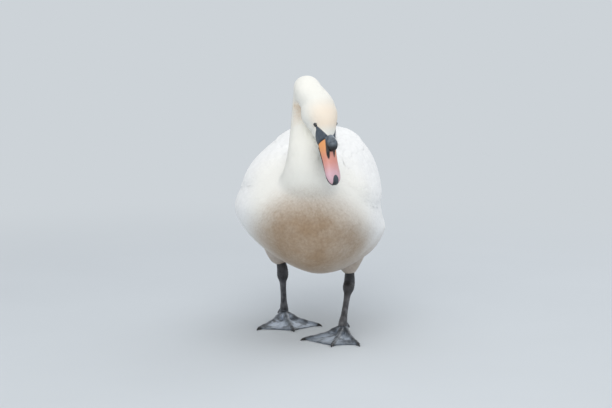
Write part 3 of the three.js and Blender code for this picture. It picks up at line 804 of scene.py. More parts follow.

# %% [markdown]
# A mute swan is white, but a living one is stained. Neck and breast are cream, the crown is rusty
# from iron in the water, and the lower breast is tan: partly dirt where it floats and feeds, partly
# painted shade under the body, and a little lighter on its left as painted light where the light
# falls. Painted shade in the rust colour lies in the crease where the neck bends. The bare skin
# between eye and bill is black. These marks are numbers at each point, worked out from where it
# lies, so that skin and coat always agree, and one material reads them.

# %% Markings
LORES_BACK, LORES_TIP = 2.5, 33.0  # where the bare skin starts behind, and the forehead's point
LORES_EYE_ANGLE, LORES_LOW_ANGLE, LORES_DROP = 26, 36, 2.5  # degrees, and degrees for every mm
EYE_RIM, LANE_LONG, LANE_HALF = 1.0, 9, 5.6  # bare skin round the eye, and the lane ahead of it
FACE_FROM, FACE_REACH = -12, 34  # mm ahead of the eyes, and mm from the head's axis
# The breast's tan is dirt and painted shade together; these numbers shape where it fades out.
STAIN_AND_SHADE_FULL, STAIN_AND_SHADE_END = 292, 398  # heights between which the breast's dirt fades out
STAIN_AND_SHADE_BOW, STAIN_AND_SHADE_TILT, STAIN_AND_SHADE_MIDDLE = 0.0045, 0.15, 6  # its upper edge falls to both sides
SPINE_SAMPLES = np.linspace(0, MUZZLE, 300)
SPINE_LINE = curve(SPINE, SPINE_SAMPLES)[:, :3]


def along_spine(places):
    """The nearest row of the neck's table for each point, and the distance to it in radii."""
    nearest = np.concatenate([
        np.argmin(((block[:, None] - SPINE_LINE) ** 2).sum(-1), 1)
        for block in np.array_split(places, max(1, len(places) // 20000))])
    s = SPINE_SAMPLES[nearest]
    radius = curve(SPINE, s)[:, 4]
    return s, norm(places - SPINE_LINE[nearest]) / radius


def from_eyes(forward, side, up):
    """Distance from the nearer eye's centre."""
    return norm(together(forward, np.abs(side) - EYE_SIDE, up - EYE_UP))


def lores(places):
    """1 on the bare skin between eye and bill and round the eye, 0 on feathers.

    Round the head's axis the bare patch lies between two lines: the upper one runs straight from
    the eye to the forehead's point, with feathers bulging over it as share^(1/2), and the lower one
    drops steeply from the eye to the corner of the mouth. A narrow lane joins it to the eye.
    """
    forward, side, up = head_sizes(places)
    angle = np.degrees(np.arctan2(up, np.abs(side)))
    share = np.clip((LORES_TIP - forward) / (LORES_TIP - LORES_BACK), 0, 1)
    upper = np.degrees(np.arccos(np.cos(np.radians(LORES_EYE_ANGLE)) * np.sqrt(share)))
    lower = LORES_LOW_ANGLE - (forward - LORES_BACK) * LORES_DROP
    inside = np.minimum(np.minimum(upper - angle, angle - lower) / 4, (forward - LORES_BACK) / 2)
    face = (forward > FACE_FROM) & (np.hypot(side, up) < FACE_REACH)
    gone = np.clip(forward / LANE_LONG, 0, 1)
    lane = from_eyes(forward - LANE_LONG * gone, np.abs(side) + 4 * gone, up + gone)
    eyes = from_eyes(forward, side, up)
    bare = np.maximum.reduce([inside + 0.5, EYE_RADIUS + EYE_RIM - eyes, LANE_HALF - lane])
    return np.where(face, np.clip(bare, 0, 1), 0)


def markings(places):
    """Cream, rust and dirt at points of the stance, each from 0 to 1.

    Cream fills the neck and the middle of the breast. A tan of dirt and painted shade lies on the lower
    breast, thinner on the belly, and fades to both sides; it is a little lighter on the bird's left as
    painted light. Rust is on the crown, and the crease where the neck bends gets the rust colour and a
    little of the tan as painted shade.
    """
    s, radii = along_spine(places)
    on_neck = ramp(s, 0.9, 2.2) * fade(radii, 1.25, 1.6)
    x, y, z = places.T
    forward, side, up = head_sizes(places)
    front = fade(y, -235, -60)
    # The tan of breast and belly is dirt together with painted shade under the body.
    edge = STAIN_AND_SHADE_BOW * (x - STAIN_AND_SHADE_MIDDLE) ** 2 + STAIN_AND_SHADE_TILT * x
    low = fade(z + edge, STAIN_AND_SHADE_FULL, STAIN_AND_SHADE_END)
    belly = fade(z, 190, 262)
    dirt_and_shade = np.maximum(low * front, 0.75 * belly * fade(y, 60, 260))
    # Painted light: the tan thins on the bird's left, where the light falls.
    dirt_and_shade *= (1 - 0.85 * ramp(np.abs(x - 18), 74, 192)) * (1 - 0.18 * ramp(x, 10, 60))
    cream = np.maximum(on_neck, front * fade(np.abs(x), 105, 160) * 0.8)
    crown = ramp(forward, -60, -16) * fade(forward, 2, 26) * ramp(up, -6, 26)
    crown *= fade(np.hypot(side, up), 28, 46)
    # Painted shade: the crease where the neck bends behind the head gets the rust colour.
    crease = ramp(s, 3.8, 4.6) * fade(s, 5.2, 6.0) * on_neck
    crease *= ramp(curve(SPINE, s)[:, 1] - y, 6, 22)
    rust_and_crease_shade = np.maximum(crown, crease)
    # Painted shade: the crease also gets a little of the tan.
    dirt_and_shade = np.maximum(dirt_and_shade, 0.3 * crease)
    return dict(cream=np.clip(cream, 0, 1), rust_and_crease_shade=np.clip(rust_and_crease_shade, 0, 1), dirt_and_shade=np.clip(dirt_and_shade, 0, 1))


places = stance_of(skin)
nothing = np.zeros(len(places))
marks = markings(places) | dict(bare=lores(places), across=nothing, along=nothing, shade=nothing + 0.5)
set_marks(skin.data, marks)
print("mean of each mark:", {key: round(float(value.mean()), 3) for key, value in marks.items()})

# %% [markdown]
# Plumage is keratin with air in it: it scatters light so well that it is white without any pigment,
# matt, and a little soft at grazing angles. Each vane is combed with fine barbs that slant from its
# shaft. Real barbs are 0.3 mm apart, too fine to show, so they are drawn 0.8 mm apart.

# %% Plumage
BARB_PITCH = 0.8  # mm


def plumage(name, bare=None):
    """White barbed plumage, stained by the marks, with two tones of bare skin where the mesh has it.

    The barbs are waves of the height sin(2 pi (along - 0.8 |across|) / pitch).
    """
    made, tree, shader = material(name, Roughness=0.72, Sheen_Weight=0.15, Sheen_Roughness=0.5)
    fleck = noise(tree, 170.0, 2.0)
    dirt_and_shade = maths(tree, "MULTIPLY", mark(tree, "dirt_and_shade"),
                 between(tree, noise(tree, 28.0, 3.0), 0.35, 0.65, 0.84, 1.0))
    colour = mixed(tree, mark(tree, "shade"), "#F2F3F3", "#F9FAFA")
    # Cream and the crown's rust are stains. The rust colour in the neck's crease is painted shade, and
    # the tan of breast and belly is dirt with painted shade.
    for share, tint in ((mark(tree, "cream"), "#F2F1EA"), (mark(tree, "rust_and_crease_shade"), "#F8E9D6"),
                         (dirt_and_shade, "#B09679"), (maths(tree, "MULTIPLY", dirt_and_shade, fleck), "#8E755C")):
        colour = mixed(tree, share, colour, tint)
    if bare:
        colour = mixed(tree, mark(tree, "bare"), colour, mixed(tree, fleck, *bare))
    across = maths(tree, "ABSOLUTE", mark(tree, "across"))
    slant = maths(tree, "MULTIPLY_ADD", across, -0.8, mark(tree, "along"))
    wave = maths(tree, "SINE", maths(tree, "MULTIPLY", slant, 2 * math.pi / BARB_PITCH))
    dress(tree, shader, colour, wave, 0.12, 0.0002)
    return made


swan_feather = plumage("swan_feather")
feathered_skin = plumage("feathered_skin_and_bare_lores", bare=("#2B323B", "#606B77"))
skin.data.materials.clear()
skin.data.materials.append(feathered_skin)
fit(skin, "plumage", "trunk", "tail", "wing_left", "wing_right", "neck_lower", "neck_middle",
    "neck_upper", "head", "thigh_left", "thigh_right")

# %% [markdown]
# A feather is a thin leaf: a shaft down its middle and a vane that rises to it like a low roof. One
# function makes any number of them at once, as closed shells with sharp edges, from the line that
# each shaft takes. The same function serves the velvet of the face and the long quills of the wing.

# %% A leaf for every feather
TIP_START = 0.5  # share of the length at which the vane starts to close


def stations(steps):
    """Shares of a feather's length from root to tip, closer together towards the tip."""
    return 1 - (1 - np.linspace(0, 1, steps)) ** 1.5


def vane_shape(steps, blunt):
    """Half width at each station as a share of the widest: a slim quill, then a full vane, then a
    tip that closes as (1 - t^blunt)^(1/2)."""
    t = stations(steps)
    body = np.interp(t, [0, 0.25, 0.55, 1], [0.35, 0.82, 1, 1])
    tip = np.sqrt(np.clip(1 - ((t - TIP_START) / (1 - TIP_START)).clip(0) ** blunt, 0, 1))
    return body * np.maximum(tip, 0.16)


def leaf_grid(shaft, side, normal, half, camber, across, rng=None, ragged=0.0):
    """Points of leaves (N, T, across, 3) from shafts, unit sides and normals, and half widths (N, T).

    Point = shaft + side * half * w + normal * camber * (1 - w^2), for w from -1 to 1. A ragged vane
    has every width changed a little at random.
    """
    w = np.linspace(-1, 1, across) * np.ones((*half.shape, 1))
    if rng:
        w = w * (1 + ragged * rng.uniform(-1, 1, w.shape))
    return (shaft[:, :, None] + side[:, :, None] * (half[:, :, None] * w)[..., None]
            + normal[:, :, None] * (camber[:, :, None] * (1 - w ** 2))[..., None])


def leaf_faces(count, steps, across):
    """Faces of closed leaves: the vane on top, one strip from edge to edge below, a fan at each end."""
    t = np.arange(steps - 1)[:, None] * across
    k = np.arange(across - 1)[None]
    top = together(t + k, t + k + 1, t + across + k + 1, t + across + k).reshape(-1, 4)
    low = together(t[:, 0], t[:, 0] + across, t[:, 0] + 2 * across - 1, t[:, 0] + across - 1)
    fan = np.arange(1, across - 1)
    root = together(0, fan + 1, fan)
    last = (steps - 1) * across
    tip = together(last, last + fan, last + fan + 1)
    shift = (np.arange(count) * steps * across)[:, None, None]
    return [(np.concatenate([top, low])[None] + shift).reshape(-1, 4),
            (np.concatenate([root, tip])[None] + shift).reshape(-1, 3)]

# %% [markdown]
# A piece of the coat holds thousands of leaves in one mesh. Every feather takes its marks from where
# it lies, and a small patch on a map, on which its colours can be kept.

# %% From leaves to a piece
PATCH = 0.003  # size of each feather's patch on the map that its colours are kept on
KNIFE_EDGE = math.radians(50)


def feather_piece(name, bands):
    """Makes one coat piece: its mesh, its marks, and a map with a small patch for every feather.

    Each band is a grid of leaves (N, T, across, 3), the way along them (N, T), their half widths
    (N, T), and the place (N, 2) of each feather's root on an unwrap of the skin.
    """
    points, faces, uvs, marks, start = [], [], [], {}, 0
    rng = np.random.default_rng(len(name))
    for grid, along, half, roots in bands:
        count, steps, across = grid.shape[:3]
        w, t = np.linspace(-1, 1, across), np.linspace(-0.5, 0.5, steps)
        full = np.ones((count, steps, across))
        told = {key: full * value[:, None, None] for key, value in markings(grid.mean((1, 2))).items()}
        told |= dict(across=full * half[:, :, None] * w, along=full * along[:, :, None],
                     shade=full * rng.random(count)[:, None, None])
        for key, value in told.items():
            marks.setdefault(key, []).append(value.ravel())
        patch = together(full * w * 0.5, t[None, :, None]) * PATCH
        uvs.append((roots[:, None, None] + patch).reshape(-1, 2))
        points.append(grid.reshape(-1, 3))
        faces += [f + start for f in leaf_faces(count, steps, across)]
        start += len(points[-1])
    made = put_mesh(name, to_frame(np.concatenate(points)), faces, swan_feather,
                    {key: np.concatenate(values) for key, values in marks.items()})
    made.data.set_sharp_from_angle(angle=KNIFE_EDGE)
    corner = np.empty(len(made.data.loops), np.int32)
    made.data.loops.foreach_get("vertex_index", corner)
    uv = np.concatenate(uvs)[corner].astype(np.float32)
    made.data.uv_layers.new(name="OFBake").data.foreach_set("uv", uv.ravel())
    fit(made, "plumage")
    print("   ", sum(len(band[0]) for band in bands), "feathers")


def run_along(points):
    """Distance along each line of points (N, T, 3) from its first point."""
    steps = norm(np.diff(points, axis=1))
    return np.concatenate([np.zeros((len(points), 1)), np.cumsum(steps, 1)], 1)

# %% [markdown]
# Feathers grow in staggered rows and are combed by the flow of the body: down the neck, over the
# breast and back to the tail. Each shaft is walked over the skin in short steps. A shrinkwrap modifier
# settles all the points of a step on the skin at once, and a second one, a millimetre higher, gives
# the direction that is straight out from it.

# %% Combing the coat
def settle(places):
    """The nearest points of the skin, and the smooth normals there, for points of the stance."""
    layers = []
    mesh = bpy.data.meshes.new("probe")
    mesh.vertices.add(len(places))
    mesh.vertices.foreach_set("co", to_frame(places).astype(np.float32).ravel())
    probe = add_object("probe", mesh)
    wrap = probe.modifiers.new("wrap", "SHRINKWRAP")
    wrap.target = skin
    wrap.wrap_method = "NEAREST_SURFACEPOINT"
    wrap.wrap_mode = "ABOVE_SURFACE"
    for offset in (0.0, 0.001):
        wrap.offset = offset
        bpy.context.view_layer.update()
        layers.append(points_of(probe.evaluated_get(bpy.context.evaluated_depsgraph_get())))
    bpy.data.objects.remove(probe)
    bpy.data.meshes.remove(mesh)
    return to_stance(layers[0]), unit(layers[1] - layers[0])


THIGH_LINES = {name: curve(thigh_rows(leg), np.linspace(0, 3, 40))[:, :3] for name, leg in LEGS.items()}


def flow(places):
    """The way that feathers point at each place, before it is laid flat on the skin.

    Along the neck it is the way from head to trunk. On the trunk it is towards the tail, and on the
    breast it also falls. Near a leg it runs down the thigh.
    """
    s, radii = along_spine(places)
    _, ahead, _, _ = spine_frames(s)
    x, y, z = places.T
    fall = 1.25 * fade(y, -300, -110)
    body = together(0.12 * np.tanh(x / 60) * fade(y, -200, 100), 1, -fall)
    on_neck = (ramp(s, 0.9, 2.4) * fade(radii, 1.3, 1.7))[:, None]
    way = unit(body) * (1 - on_neck) - ahead * on_neck
    for line in THIGH_LINES.values():
        away = norm(places[:, None] - line[None])
        near = fade(away.min(1), 34, 62) * fade(z, 176, 214)
        way = way * (1 - near)[:, None] + np.array([0.0, 0.1, -1.0]) * near[:, None]
    return unit(way)


def comb(roots, length, steps, lift, seed, stray=0.12):
    """Walks each shaft from its root over the skin. Gives shafts, sides and normals (N, steps, 3).

    lift is how high each tip stands over the skin in mm. The shaft rises from just under the skin
    as t^0.45, quickly and then hardly at all, so that the coat is deep but its surface is smooth.
    """
    rng = np.random.default_rng(seed)
    turn = rng.normal(0, stray, len(roots))
    place, normal = settle(roots)
    t = stations(steps)
    shaft, normals = [], []
    for gap in np.append(np.diff(t), 0):
        shaft.append(place)
        normals.append(normal)
        way = flow(place)
        way = unit(way - normal * (way * normal).sum(-1, keepdims=True))
        aside = np.cross(normal, way)
        way = unit(way * np.cos(turn)[:, None] + aside * np.sin(turn)[:, None])
        place, normal = settle(place + way * (length * gap)[:, None])
    shaft, normals = np.stack(shaft, 1), np.stack(normals, 1)
    ahead = unit(np.gradient(shaft, axis=1))
    sides = unit(np.cross(normals, ahead))
    height = -0.4 + (lift[:, None] + 0.4) * t ** 0.45
    return shaft + normals * height[..., None], sides, normals


def coat(name, roots, uv, length, half, lift, camber, steps, across, seed, blunt=2.2, stray=0.12):
    """Combs feathers from their roots and makes the piece. Sizes are in mm, one per feather."""
    shaft, sides, normals = comb(roots, length, steps, lift, seed, stray)
    widths = half[:, None] * vane_shape(steps, blunt)[None]
    tilt = np.random.default_rng(seed + 1).normal(0, 0.04, len(roots))
    sides = unit(sides + normals * tilt[:, None, None])
    grid = leaf_grid(shaft, sides, normals, widths, camber[:, None] * np.ones((1, steps)), across,
                     np.random.default_rng(seed + 2), 0.10)
    feather_piece(name, [(grid, run_along(shaft), widths, uv)])

# %% [markdown]
# Where do feathers grow? Everywhere but on the lores, round the eyeballs, on the bill's base and well
# inside the wings, which have quills of their own. They stand closest on the face, about 1.5 mm
# apart, and grow larger down the neck until they pass into the contour feathers of breast and belly.

# %% Spacing of the roots
HORN_FROM = 38.5  # mm ahead of the eyes
QUILLS_INSIDE, QUILLS_TO = 20, 190  # mm inside a wing's outline, and how far back
RUMP_FROM, RUMP_TO = 345, 390  # the rump under the wings' tips
TRIES = 5  # random points tried for every root that the spacing allows


def hides_bare_parts(places):
    """True where no feather grows: the lores, the eyeballs and the base of the bill."""
    forward, side, up = head_sizes(places)
    eyes = from_eyes(forward, side, up)
    horn = (np.hypot(side, up) < FACE_REACH) & (forward + BILL_SLANT * up > HORN_FROM)
    return (lores(places) > 0.45) | (eyes < EYE_RADIUS + 1.2) | horn


def lies_on(places):
    """Spine row, share of the neck (1) against the trunk (0), and share of a thigh, at each place."""
    s, radii = along_spine(places)
    neck = ramp(s, 0.7, 2.0) * fade(radii, 1.25, 1.6)
    away = np.min([norm(places[:, None] - line[None]).min(1)
                   for line in THIGH_LINES.values()], axis=0)
    thigh = fade(away, 40, 66) * fade(places[:, 2], 172, 206)
    return s, neck, thigh


def root_spacing(places):
    """Distance between the roots in mm: it falls along the neck to the face and grows to the rear."""
    s, neck, thigh = lies_on(places)
    on_spine = np.interp(s, [0.9, 2.4, 4.5, NAPE, NAPE + 3, NAPE + 5, MUZZLE],
                         [4.4, 3.6, 3.1, 2.5, 1.75, 1.45, 1.3])
    on_trunk = np.interp(places[:, 1], [-290, -200, 0, 200], [4.3, 4.8, 6.2, 8.0])
    return (on_spine * neck + on_trunk * (1 - neck)) * (1 - thigh) + 3.8 * thigh


def scattered(seed):
    """Roots all over the skin, each at least its own spacing from the others, and those spacings.

    Points of random triangles are tried in turn. One is kept where no root lies nearer than the
    spacing there. Boxes as wide as the spacing hold the kept ones, so only 27 boxes are searched.
    """
    rng = np.random.default_rng(seed)
    mesh = skin.data
    mesh.calc_loop_triangles()
    corners = np.empty(len(mesh.loop_triangles) * 3, np.int32)
    mesh.loop_triangles.foreach_get("vertices", corners)
    triangles = stance_of(skin)[corners.reshape(-1, 3)]
    middle = triangles.mean(1)
    spacing = root_spacing(middle)
    area = norm(np.cross(triangles[:, 1] - triangles[:, 0], triangles[:, 2] - triangles[:, 0])) / 2
    body_y = stance_to_body(middle)[:, 1]
    inside = in_wing(middle)
    quills = (inside > QUILLS_INSIDE) & (body_y < QUILLS_TO)
    rump = (body_y > RUMP_FROM) & ((inside < 0) | (body_y > RUMP_TO))
    wanted = ~quills & ~rump & ~hides_bare_parts(middle)
    need = area / spacing ** 2 * wanted * TRIES
    chosen = np.repeat(np.arange(len(need)), (need + rng.random(len(need))).astype(int))
    chosen = rng.permutation(chosen)
    share = rng.dirichlet(np.ones(3), len(chosen))
    places = (triangles[chosen] * share[..., None]).sum(1)
    gaps = spacing[chosen]
    kept = []
    for low, size in ((0, 2.1), (2.1, 3.2), (3.2, 4.6), (4.6, 6.4), (6.4, 9)):
        boxes = {}
        for k in np.flatnonzero((gaps > low) & (gaps <= size)):
            x, y, z = places[k]
            bx, by, bz = int(x // size), int(y // size), int(z // size)
            least = gaps[k] ** 2
            crowded = any(
                (x - qx) ** 2 + (y - qy) ** 2 + (z - qz) ** 2 < least
                for i in (bx - 1, bx, bx + 1) for j in (by - 1, by, by + 1) for n in (bz - 1, bz, bz + 1)
                for qx, qy, qz in boxes.get((i, j, n), ()))
            if not crowded:
                boxes.setdefault((bx, by, bz), []).append((x, y, z))
                kept.append(k)
    return places[kept], gaps[kept]

# %% [markdown]
# The roots are dealt out to five pieces. Head and neck get short narrow velvet, the breast and the
# flanks get rounder contour feathers, and the thighs get soft ones that hang over the bare ankles.

# %% Velvet and contour feathers
NECK_SPLIT = NAPE - 1.5
roots, pitch = scattered(3)
s, neck, thigh = lies_on(roots)
x, y, z = stance_to_body(roots).T
turn = np.arctan2(z - 290, x) / (2 * np.pi) % 1
_, ahead, across, back = spine_frames(s)
off = roots - curve(SPINE, s)[:, :3]
twist = np.arctan2((off * back).sum(-1), (off * across).sum(-1)) / (2 * np.pi) % 1
spread = np.where(neck > 0.5, s / MUZZLE, (y + 300) / 700)
uv = together(0.01 + 0.98 * np.where(neck > 0.5, twist, turn), 0.01 + 0.98 * np.clip(spread, 0, 1))
deep = spine_coat(s) * neck + BODY_COAT * (1 - neck)
deep *= 1 - 0.92 * ramp(in_wing(roots), -4, 3) * ramp(y, 110, 200)
long = np.interp(s, [1, 3, NAPE, MUZZLE], [4.8, 4.8, 4.2, 2.8]) * neck + 5.0 * (1 - neck)
long *= 1 - 0.55 * ramp(y, 320, 380)
groups = {
    "coat_head": (neck > 0.5) & (s > NECK_SPLIT), "coat_neck": (neck > 0.5) & (s <= NECK_SPLIT),
    "coat_thigh_left": (thigh > 0.5) & (x > 0), "coat_thigh_right": (thigh > 0.5) & (x <= 0),
    "coat_breast": (neck <= 0.5) & (thigh <= 0.5) & (y < -95),
    "coat_flanks": (neck <= 0.5) & (thigh <= 0.5) & (y >= -95),
}
for seed, (name, chosen) in enumerate(groups.items(), 10):
    size, depth = pitch[chosen], deep[chosen]
    on_face = "head" in name or "neck" in name
    coat(name, roots[chosen], uv[chosen], size * long[chosen], size * (1.1 if on_face else 1.08),
         depth * (0.5 if on_face else 0.7), size * 0.05, steps=5 if on_face else 6, across=3, seed=seed,
         blunt=1.7, stray=0.06)

# %% [markdown]
# Between the wings the back is covered by the mantle, whose larger feathers lie over the inner edges
# of the wings. Their roots are dropped onto the skin from above.

# %% Mantle
MANTLE_HALF, MANTLE_FROM, MANTLE_TO, MANTLE_PITCH = 92, -150, 300, 9.5
rows = np.arange(MANTLE_FROM, MANTLE_TO, MANTLE_PITCH * 0.87)
x, y = np.meshgrid(np.arange(-MANTLE_HALF, MANTLE_HALF, MANTLE_PITCH), rows)
x = x + (np.arange(len(rows)) % 2)[:, None] * MANTLE_PITCH / 2
rng = np.random.default_rng(14)
x, y = (v.ravel() + rng.normal(0, 1.8, v.size) for v in (x, y))
top = curve(MANTLE, rows_at(MANTLE, y))
high = top[:, 1] + top[:, 3] * np.sqrt(np.clip(1 - (x / top[:, 2]) ** 2, 0, 1))
roots, _ = settle(body_to_stance(together(x, y, high)))
_, off_neck = along_spine(roots)
wide = np.interp(y, [MANTLE_FROM, 0, MANTLE_TO], [62, MANTLE_HALF, 40])
chosen = (np.abs(x) < np.minimum(wide, 0.85 * top[:, 2])) & (off_neck > 1.02)
uv = together(0.5 + x / 220, 0.02 + 0.96 * (y - MANTLE_FROM) / (MANTLE_TO - MANTLE_FROM))
length = np.interp(y, [MANTLE_FROM, 100, MANTLE_TO], [34, 52, 60])[chosen]
over_wing = ramp(np.abs(x[chosen]), 30, 62) * fade(y[chosen], 180, 300)
lift = (3.4 + 5.5 * over_wing) * (0.45 + 0.55 * ramp(y[chosen], -150, -20))
coat("coat_mantle", roots[chosen], uv[chosen], length, length * 0.22, lift, length * 0.012,
     steps=8, across=5, seed=15, stray=0.05)

# %% [markdown]
# The bill is horn over bone: a long shield with an arched top, a sharp lower edge and a hard nail at
# its tip. Its rings are widest near the cutting edge. Slits of nostrils sink into the black strips
# that run out from under the knob.

# %% The bill's two halves
BILL_TOP = [  # forward of the eyes, half width, height of the ridge, height of the cutting edge
    (38, 20, 20, -5),
    (50, 19, 16.5, -6.5),
    (64, 18, 12.5, -7),
    (80, 17.4, 9.5, -6.8),
    (96, 17.6, 7.5, -6.5),
    (110, 17.8, 6, -6.5),
    (120, 16.4, 4.8, -7),
    (127, 12.8, 2.8, -7.6),
    (131, 8, -0.2, -8.4),
    (132.5, 3, -4, -8.6),
]
BILL_LOW = [  # forward of the eyes, half width, upper edge, lower edge
    (40, 13.6, -5.6, -18),
    (54, 14.4, -7.4, -15.6),
    (70, 14.8, -7.8, -13.6),
    (90, 15, -7.4, -12),
    (108, 14.8, -7.2, -11),
    (118, 13, -7.6, -10.4),
    (124, 8.5, -8.2, -10),
]
NOSTRIL_AT, NOSTRIL_MID, NOSTRIL_SIDE = 70.0, -2.0, 7.0  # ahead of the eyes, and to the side
NOSTRIL_LONG, NOSTRIL_WIDE, NOSTRIL_DEEP = 6.5, 1.5, 2.2


def bill_grid(rows, steps, sides, swell=0.0):
    """Head sizes (forward, side, up) of rings along the bill, the base slanted along the face.

    side = half cos^0.8, and up follows sin^1.1 above the cutting edge and sin^0.5 just below it.
    """
    s = np.linspace(0, len(rows) - 1, steps)[:, None]
    forward, half, top, bottom = columns(rows, s)
    angle = around(sides)[None]
    c, t = np.cos(angle), np.sin(angle)
    rise = top - bottom
    side = (half + swell) * np.sign(c) * np.abs(c) ** 0.8
    arch = np.where(t > 0, (rise + swell) * np.abs(t) ** 1.1 * (1 - 0.6 / rise),
                    -(0.6 + swell) * np.abs(t) ** 0.5)
    up = bottom + 0.6 + arch
    slanted = forward - BILL_SLANT * up * np.maximum(0, (52 - forward) / 14)
    return together(slanted, side, up, forward, up - bottom)


def horn_piece(name, sizes, finish, marks, slot, solid):
    """A closed tube of head sizes as a mesh in the frame. marks are arrays over its grid."""
    points, faces = capped(head_points(sizes))
    closed = {key: np.append(value.ravel(), [value[0].mean(), value[-1].mean()])
              for key, value in marks.items()}
    fit(put_mesh(name, to_frame(points), faces, finish, closed), slot, solid)


def shell_normals(points):
    """Outward normals of a closed grid (rings, sides, 3) whose sides run round to the left."""
    ahead = np.gradient(points, axis=0)
    turn = np.roll(points, -1, 1) - np.roll(points, 1, 1)
    return unit(np.cross(turn, ahead))


# Nostril slits, a groove along the cutting edge and a low ridge are carved into the upper half.
upper = bill_grid(BILL_TOP, 150, 120)
forward, side, up, station, over_edge = np.moveaxis(upper, -1, 0)
outward = shell_normals(upper[..., :3])
aside = np.abs(side - NOSTRIL_MID) - NOSTRIL_SIDE
slot_at = np.hypot((station - NOSTRIL_AT) / NOSTRIL_LONG, aside / NOSTRIL_WIDE)
on_top = over_edge > 4
slot_mask = np.where(on_top, fade(slot_at, 0.55, 1.25), 0)
groove = fade(np.abs(over_edge - 2.6), 0.3, 1.3) * ramp(station, 42, 50)
groove *= fade(station, 118, 126)
ridge = fade(np.abs(side), 0, 3.0) * ramp(station, 58, 70) * fade(station, 96, 110)
carved = upper[..., :3] + outward * (-NOSTRIL_DEEP * slot_mask - 0.35 * groove + 0.35 * ridge)[..., None]
# Black are the strips from under the knob, the rim at the face, the cutting edge and the slits.
past = np.maximum(station - 62, 0) / np.where(side < 0, 18, 14)
strip = fade(np.hypot(past, aside / np.where(side < 0, 3.8, 2.8)), 0.72, 1.08)
base = fade(forward, 62.0, 65.0)
rim = fade(forward + BILL_SLANT * up, 39.0, 40.6)
tip_edge = ramp(station, 108, 124)
cut_edge = fade(over_edge, 0.8 + 1.6 * tip_edge, 1.9 + 2.0 * tip_edge)
beside_knob = base * fade(np.abs(side), 8.6, 10.0)
black = np.where(on_top, np.maximum(strip, beside_knob), 0)
# Painted shade: the horn turns salmon towards the tip and along the ridge. Painted light: it turns pale
# lilac near the nail.
bill_marks = dict(black=np.maximum.reduce([black, rim, cut_edge, slot_mask]),
                  painted_shade_tone=ramp(station + 14 * fade(np.abs(side), 2, 8), 44, 86),
                  painted_lilac_light=ramp(station, 80, 116))

# %% [markdown]
# The horn is orange. Its turn to salmon further on and along the ridge and to pink towards the tip is
# painted shade, and the pale lilac round the nail is painted light. Fine lines run along it, and it
# is a little glossy, like a fingernail.

# %% Horn and bare skin
def horn(name):
    """Bill horn: orange with painted shade and painted light along it, and black by the mark black."""
    made, tree, shader = material(name, Roughness=0.36, Coat_Weight=0.25, Coat_Roughness=0.25)
    # Painted shade and light: salmon along the bill, pale lilac near the nail.
    colour = mixed(tree, mark(tree, "painted_shade_tone"), "#F2A768", "#DD988B")
    colour = mixed(tree, mark(tree, "painted_lilac_light"), colour, "#D8B2BE")
    veins = between(tree, noise(tree, 90.0, 3.0), 0.45, 0.75, 0.0, 0.2)
    colour = mixed(tree, veins, colour, "#CE7A68")
    colour = mixed(tree, mark(tree, "black"), colour, "#17181B")
    dress(tree, shader, colour, noise(tree, 700.0, 3.0), 0.3, 0.0002)
    return made


def bare_hide(name, colours, roughness, pitch, strength=0.6):
    """Bare leathery skin: two tones in soft clouds, darker by the mark dark, with cells as bump."""
    made, tree, shader = material(name, Roughness=roughness, Coat_Weight=0.12, Coat_Roughness=0.35)
    cloud = between(tree, noise(tree, 60.0, 4.0), 0.38, 0.66)
    colour = mixed(tree, mark(tree, "dark"), mixed(tree, cloud, *colours), "#17171A")
    dress(tree, shader, colour, cells(tree, 1000 / pitch), strength, 0.0003)
    return made


bill_horn = horn("bill_horn_orange_with_painted_light")
face_hide = bare_hide("bare_black_face_skin", ("#3A434D", "#7F8B97"), 0.42, 1.6)
nail_horn = bare_hide("nail_horn_dark_grey", ("#2A2F35", "#4B545E"), 0.34, 3.0, strength=0.15)

horn_piece("bill_upper_horn", carved, bill_horn, bill_marks, "bill_horn", "bill_upper")
lower = bill_grid(BILL_LOW, 90, 72)
under = ramp(-lower[..., 2], 9.0, 11.5)
# Painted shade: the lower half turns salmon towards the tip, as the upper one does.
lower_marks = dict(black=np.maximum(under, 0.15), painted_shade_tone=ramp(lower[..., 3], 45, 100), painted_lilac_light=0 * under)
horn_piece("bill_lower_horn", lower, bill_horn, lower_marks, "bill_horn", "bill_lower")

# %% [markdown]
# The nail is the tip of the bill once more, swollen by a little under a millimetre inside the outline
# of a shield and sunk below the horn outside it.

# %% Nail
NAIL_AT, NAIL_LONG, NAIL_WIDE = 123.5, 10.5, 7.0
NAIL_SWELL, NAIL_RIM, NAIL_SUNK = 0.75, 1.6, -0.9  # mm above the horn, fall at the rim, and below
tip = bill_grid(BILL_TOP, 300, 160)
tip = tip[tip[:, 0, 3] > 108]
outward = shell_normals(tip[..., :3])
back = np.minimum(tip[..., 3] - NAIL_AT, 0) / NAIL_LONG
plan = np.hypot(back, tip[..., 1] / (NAIL_WIDE * (1 + 0.15 * back)))
on_shield = (tip[..., 4] > 1.2) | (tip[..., 3] > 131)
lift = np.where(on_shield, NAIL_SWELL - NAIL_RIM * ramp(plan, 0.86, 1.04), NAIL_SUNK)
nail = tip[..., :3] + outward * lift[..., None]
horn_piece("nail_horn_shield", nail, nail_horn, {}, "nail_horn", "bill_nail")

# %% [markdown]
# The knob is soft black skin on the forehead, larger in a male. Three ellipsoids are melted together
# and smoothed until no seam is left between them. Painted shade darkens its front and underside.

# %% Knob
def ellipsoid(centre=0, radii=1, rings=40, sides=64):
    """Head sizes of an ellipsoid as a closed tube along the head's axis, or of a ball of radius 1."""
    lat = np.linspace(0, np.pi, rings + 2)[1:-1, None]
    turn = around(sides)[None]
    ring = together(-np.cos(lat), np.sin(lat) * np.cos(turn), np.sin(lat) * np.sin(turn))
    return ring * radii + centre


